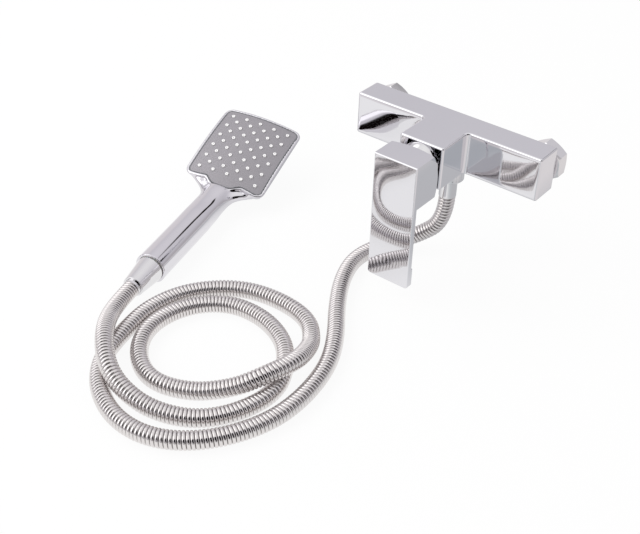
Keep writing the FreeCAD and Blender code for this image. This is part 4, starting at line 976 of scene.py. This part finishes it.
@dataclass
class Studio:
    """Camera, lamps, floor and room.

    Attributes:
        azimuth: The camera's turn about the vertical.
        elevation: Its height angle.
        roll: Its turn about its own axis.
        target: The point that it looks at.
        distance: How far it is from that point.
        focal_px: Its focal length in pixels of the photograph.
        picture_px: The photograph's width in pixels.
        sensor: The camera's sensor width in millimetres.
        reach: The nearest and the farthest that it sees.
        middle: The point that the lamps look at.
        boxes: The lamps.
        horizon: Shade of the room at the horizon.
        sky: Shades above it, each with the sine of its elevation. The zenith is white.
        haze: Shade of the room for the pieces that aren't mirrors.
        fields: Soft boxes and dark openings that the metal sees.
        floor_half: Half the floor's width.
        floor_cloth: The floor's own colour.
        floor_glow: Share of the floor's colour that is plain white. The rest takes the shadow.
        painted_floor_shades: Painted shade on sides of the floor, which only the metal sees, each over
            the ones before.
    """

    azimuth: float = math.radians(37.1378)
    elevation: float = math.radians(35.8538)
    roll: float = math.radians(1.7582)
    target: tuple[float, float, float] = (-0.14281, -0.0140, -0.20377)
    distance: float = 1.09187
    focal_px: float = 1086.62
    picture_px: float = 640.0
    sensor: float = 36.0
    reach: tuple[float, float] = (0.01, 50.0)
    middle: tuple[float, float, float] = (-0.08, -0.15, -0.08)
    boxes: tuple[SoftBox, ...] = (
        SoftBox("left_front_box", (-1.05, -1.3, 1.25), (1.7, 1.5), 18.0),
        SoftBox("left_box", (-1.6, 0.0, 1.9), (1.2, 1.4), 9.0),
    )
    horizon: str = "#C6C3C6"
    sky: tuple[tuple[float, str], ...] = ((0.12, "#BDBABD"), (0.3, "#D1CFD4"), (0.5, "#D9D7DC"),
                                          (0.72, "#E8E6EA"))
    haze: str = "#E2E2E4"
    fields: tuple[Field, ...] = (
        # Bright: high on the left in front and overhead, and low on the left behind.
        Field((-0.503, -0.623, 0.599), 18.0, 32.0, "#FFFFFF", 1.7),
        Field((-0.63, 0.06, 0.77), 8.0, 18.0, "#FFFFFF", 1.4),
        Field((-0.82, 0.56, 0.12), 12.0, 30.0, "#EAE6E8"),
        # Dark: high on the right in front, a small one behind, and two on the right.
        Field((0.489, -0.646, 0.586), 16.0, 21.0, "#0C0A0A"),
        Field((0.09, 0.80, 0.59), 3.0, 6.0, "#1A1210"),
        Field((0.74, -0.33, 0.58), 20.0, 26.0, "#0E0909"),
        Field((0.91, -0.30, 0.28), 15.0, 21.0, "#0E0909"),
    )
    floor_half: float = 4.0
    floor_cloth: str = "#F4F3F2"
    floor_glow: float = 0.92
    # Painted shade on the floor, for the metal's reflections only.
    painted_floor_shades: tuple[PaintedFloorShade, ...] = (
        PaintedFloorShade("X", 0.03, 0.11, "#C6CBCE"),
        PaintedFloorShade("Y", -0.12, -0.02, "#C4C5C8"),
        PaintedFloorShade("X", 0.13, 0.17, "#EAE6E6"),
        PaintedFloorShade("X", -0.26, -0.34, "#EAE6E8"),
    )

    def camera(self) -> None:
        """Puts the camera where the photograph was taken from."""
        sin_a, cos_a = math.sin(self.azimuth), math.cos(self.azimuth)
        sin_e, cos_e = math.sin(self.elevation), math.cos(self.elevation)
        back = Vector((sin_a * cos_e, -cos_a * cos_e, sin_e))
        right = Vector((cos_a, sin_a, 0.0))
        up = back.cross(right)
        sin_r, cos_r = math.sin(self.roll), math.cos(self.roll)
        rows = (right * cos_r + up * sin_r, up * cos_r - right * sin_r, back)
        tilted = Matrix(rows).transposed().to_4x4()
        data = bpy.data.cameras.new("camera")
        data.sensor_width = self.sensor
        data.lens = self.focal_px / self.picture_px * self.sensor
        data.clip_start, data.clip_end = self.reach
        camera = in_scene("camera", data)
        camera.matrix_world = Matrix.Translation(Vector(self.target) + back * self.distance) @ tilted
        bpy.context.scene.camera = camera

    def lamp(self, box: SoftBox) -> None:
        """Hangs a soft box that looks at the object. The metal sees the fields instead of it.

        Args:
            box: The soft box.
        """
        data = bpy.data.lights.new(box.name, "AREA")
        data.shape = "RECTANGLE"
        data.size, data.size_y = box.size
        data.energy = box.power
        lamp = in_scene(box.name, data)
        lamp.visible_glossy = False
        turn = (Vector(box.place) - Vector(self.middle)).to_track_quat("Z", "Y")
        lamp.matrix_world = Matrix.Translation(box.place) @ turn.to_matrix().to_4x4()

    def sweep(self) -> bpy.types.Material:
        """Makes the floor's material: pale cloth that the camera and the metal see almost white, with
        painted shade on some sides that the metal alone sees.

        Returns:
            The material.
        """
        made = bpy.data.materials.new("white_sweep")
        made.use_nodes = True
        tree = made.node_tree
        tree.nodes.clear()
        path = add_node(tree, "ShaderNodeLightPath").outputs
        seen = add_node(tree, "ShaderNodeMath", {"operation": "MAXIMUM"},
                        {0: path["Is Camera Ray"], 1: path["Is Glossy Ray"]}).outputs[0]
        seen = add_node(tree, "ShaderNodeMath", {"operation": "MAXIMUM"},
                        {0: seen, 1: path["Is Transmission Ray"]}).outputs[0]
        share = add_node(tree, "ShaderNodeMath", {"operation": "MULTIPLY", 1: self.floor_glow},
                         {0: seen}).outputs[0]
        cloth = add_node(tree, "ShaderNodeBsdfDiffuse", {"Color": linear(self.floor_cloth)}).outputs[0]
        place = add_node(tree, "ShaderNodeTexCoord").outputs["Object"]
        sides = add_node(tree, "ShaderNodeSeparateXYZ", {}, {0: place}).outputs
        colour = None
        # Painted shade: sides of the floor darken in the metal's reflections only.
        for row in self.painted_floor_shades:
            away = add_node(tree, "ShaderNodeMapRange", {"From Min": row.near, "From Max": row.far},
                            {"Value": sides[row.side]}).outputs["Result"]
            away = add_node(tree, "ShaderNodeMath", {"operation": "MULTIPLY"},
                            {0: away, 1: path["Is Glossy Ray"]}).outputs[0]
            links = {0: away} if colour is None else {0: away, 6: colour}
            colour = add_node(tree, "ShaderNodeMix",
                              {"data_type": "RGBA", 6: WHITE, 7: linear(row.shade)}, links).outputs[2]
        glow = add_node(tree, "ShaderNodeEmission", {"Strength": 1.0}, {"Color": colour}).outputs[0]
        both = add_node(tree, "ShaderNodeMixShader", {}, {0: share, 1: cloth, 2: glow}).outputs[0]
        add_node(tree, "ShaderNodeOutputMaterial", {}, {"Surface": both})
        return made

    def floor(self) -> None:
        """Lays the floor."""
        bm = bmesh.new()
        bmesh.ops.create_grid(bm, x_segments=1, y_segments=1, size=self.floor_half,
                              matrix=Matrix.Translation((0.0, 0.0, FLOOR_Z)))
        mesh = bpy.data.meshes.new("floor")
        bm.to_mesh(mesh)
        bm.free()
        mesh.materials.append(self.sweep())
        floor = in_scene("floor", mesh)

    def room(self) -> None:
        """Fills the room with soft light: white behind the object, and shaded for the metal."""
        world = bpy.data.worlds.new("room")
        world.use_nodes = True
        tree = world.node_tree
        tree.nodes.clear()
        way = add_node(tree, "ShaderNodeTexCoord").outputs["Generated"]
        height = add_node(tree, "ShaderNodeSeparateXYZ", {}, {0: way}).outputs["Z"]
        ramp = add_node(tree, "ShaderNodeValToRGB", {}, {0: height})
        stops = ramp.color_ramp.elements
        stops[0].position, stops[0].color = 0.0, linear(self.horizon)
        stops[1].position, stops[1].color = 1.0, WHITE
        for position, code in self.sky:
            stops.new(position).color = linear(code)
        seen = ramp.outputs["Color"]
        for field in self.fields:
            near = add_node(tree, "ShaderNodeVectorMath",
                            {"operation": "DOT_PRODUCT", 1: Vector(field.aim).normalized()},
                            {0: way}).outputs["Value"]
            share = add_node(tree, "ShaderNodeMapRange",
                             {"interpolation_type": "SMOOTHSTEP",
                              "From Min": math.cos(math.radians(field.faded)),
                              "From Max": math.cos(math.radians(field.full))},
                             {"Value": near}).outputs["Result"]
            shade = (*(field.strength * part for part in linear(field.shade)[:3]), 1.0)
            seen = add_node(tree, "ShaderNodeMix", {"data_type": "RGBA", 7: shade},
                            {0: share, 6: seen}).outputs[2]
        mirrored = add_node(tree, "ShaderNodeBackground", {"Strength": 1.0}, {"Color": seen}).outputs[0]
        soft = add_node(tree, "ShaderNodeBackground",
                        {"Color": linear(self.haze), "Strength": 1.0}).outputs[0]
        white = add_node(tree, "ShaderNodeBackground", {"Color": WHITE, "Strength": 1.0}).outputs[0]
        path = add_node(tree, "ShaderNodeLightPath").outputs
        both = add_node(tree, "ShaderNodeMixShader", {},
                        {0: path["Is Glossy Ray"], 1: soft, 2: mirrored}).outputs[0]
        both = add_node(tree, "ShaderNodeMixShader", {},
                        {0: path["Is Camera Ray"], 1: both, 2: white}).outputs[0]
        add_node(tree, "ShaderNodeOutputWorld", {}, {"Surface": both})
        bpy.context.scene.world = world

    def build(self) -> None:
        """Sets the whole studio up."""
        self.camera()
        self.floor()
        self.room()
        for box in self.boxes:
            self.lamp(box)
        bpy.context.scene.view_settings.view_transform = "Standard"
        log.info("studio ready")


def main() -> None:
    """Builds everything in order."""
    logging.basicConfig(level=logging.INFO, format="%(name)s: %(message)s")
    for spare in list(bpy.context.scene.objects):
        if spare.type in {"CAMERA", "LIGHT"}:
            bpy.data.objects.remove(spare)
    shop = FinishShop()
    PackedParts(shop).dress()
    PolishedParts(shop).build()
    # Painted shade: a grey ring in the gap round the faceplate.
    PlateGapShade(shop, bpy.data.objects["faceplate_polished"]).build()
    MouldedShell(shop).build()
    RibbedHose(shop).build()
    Studio().build()


if __name__ == "__main__":
    main()
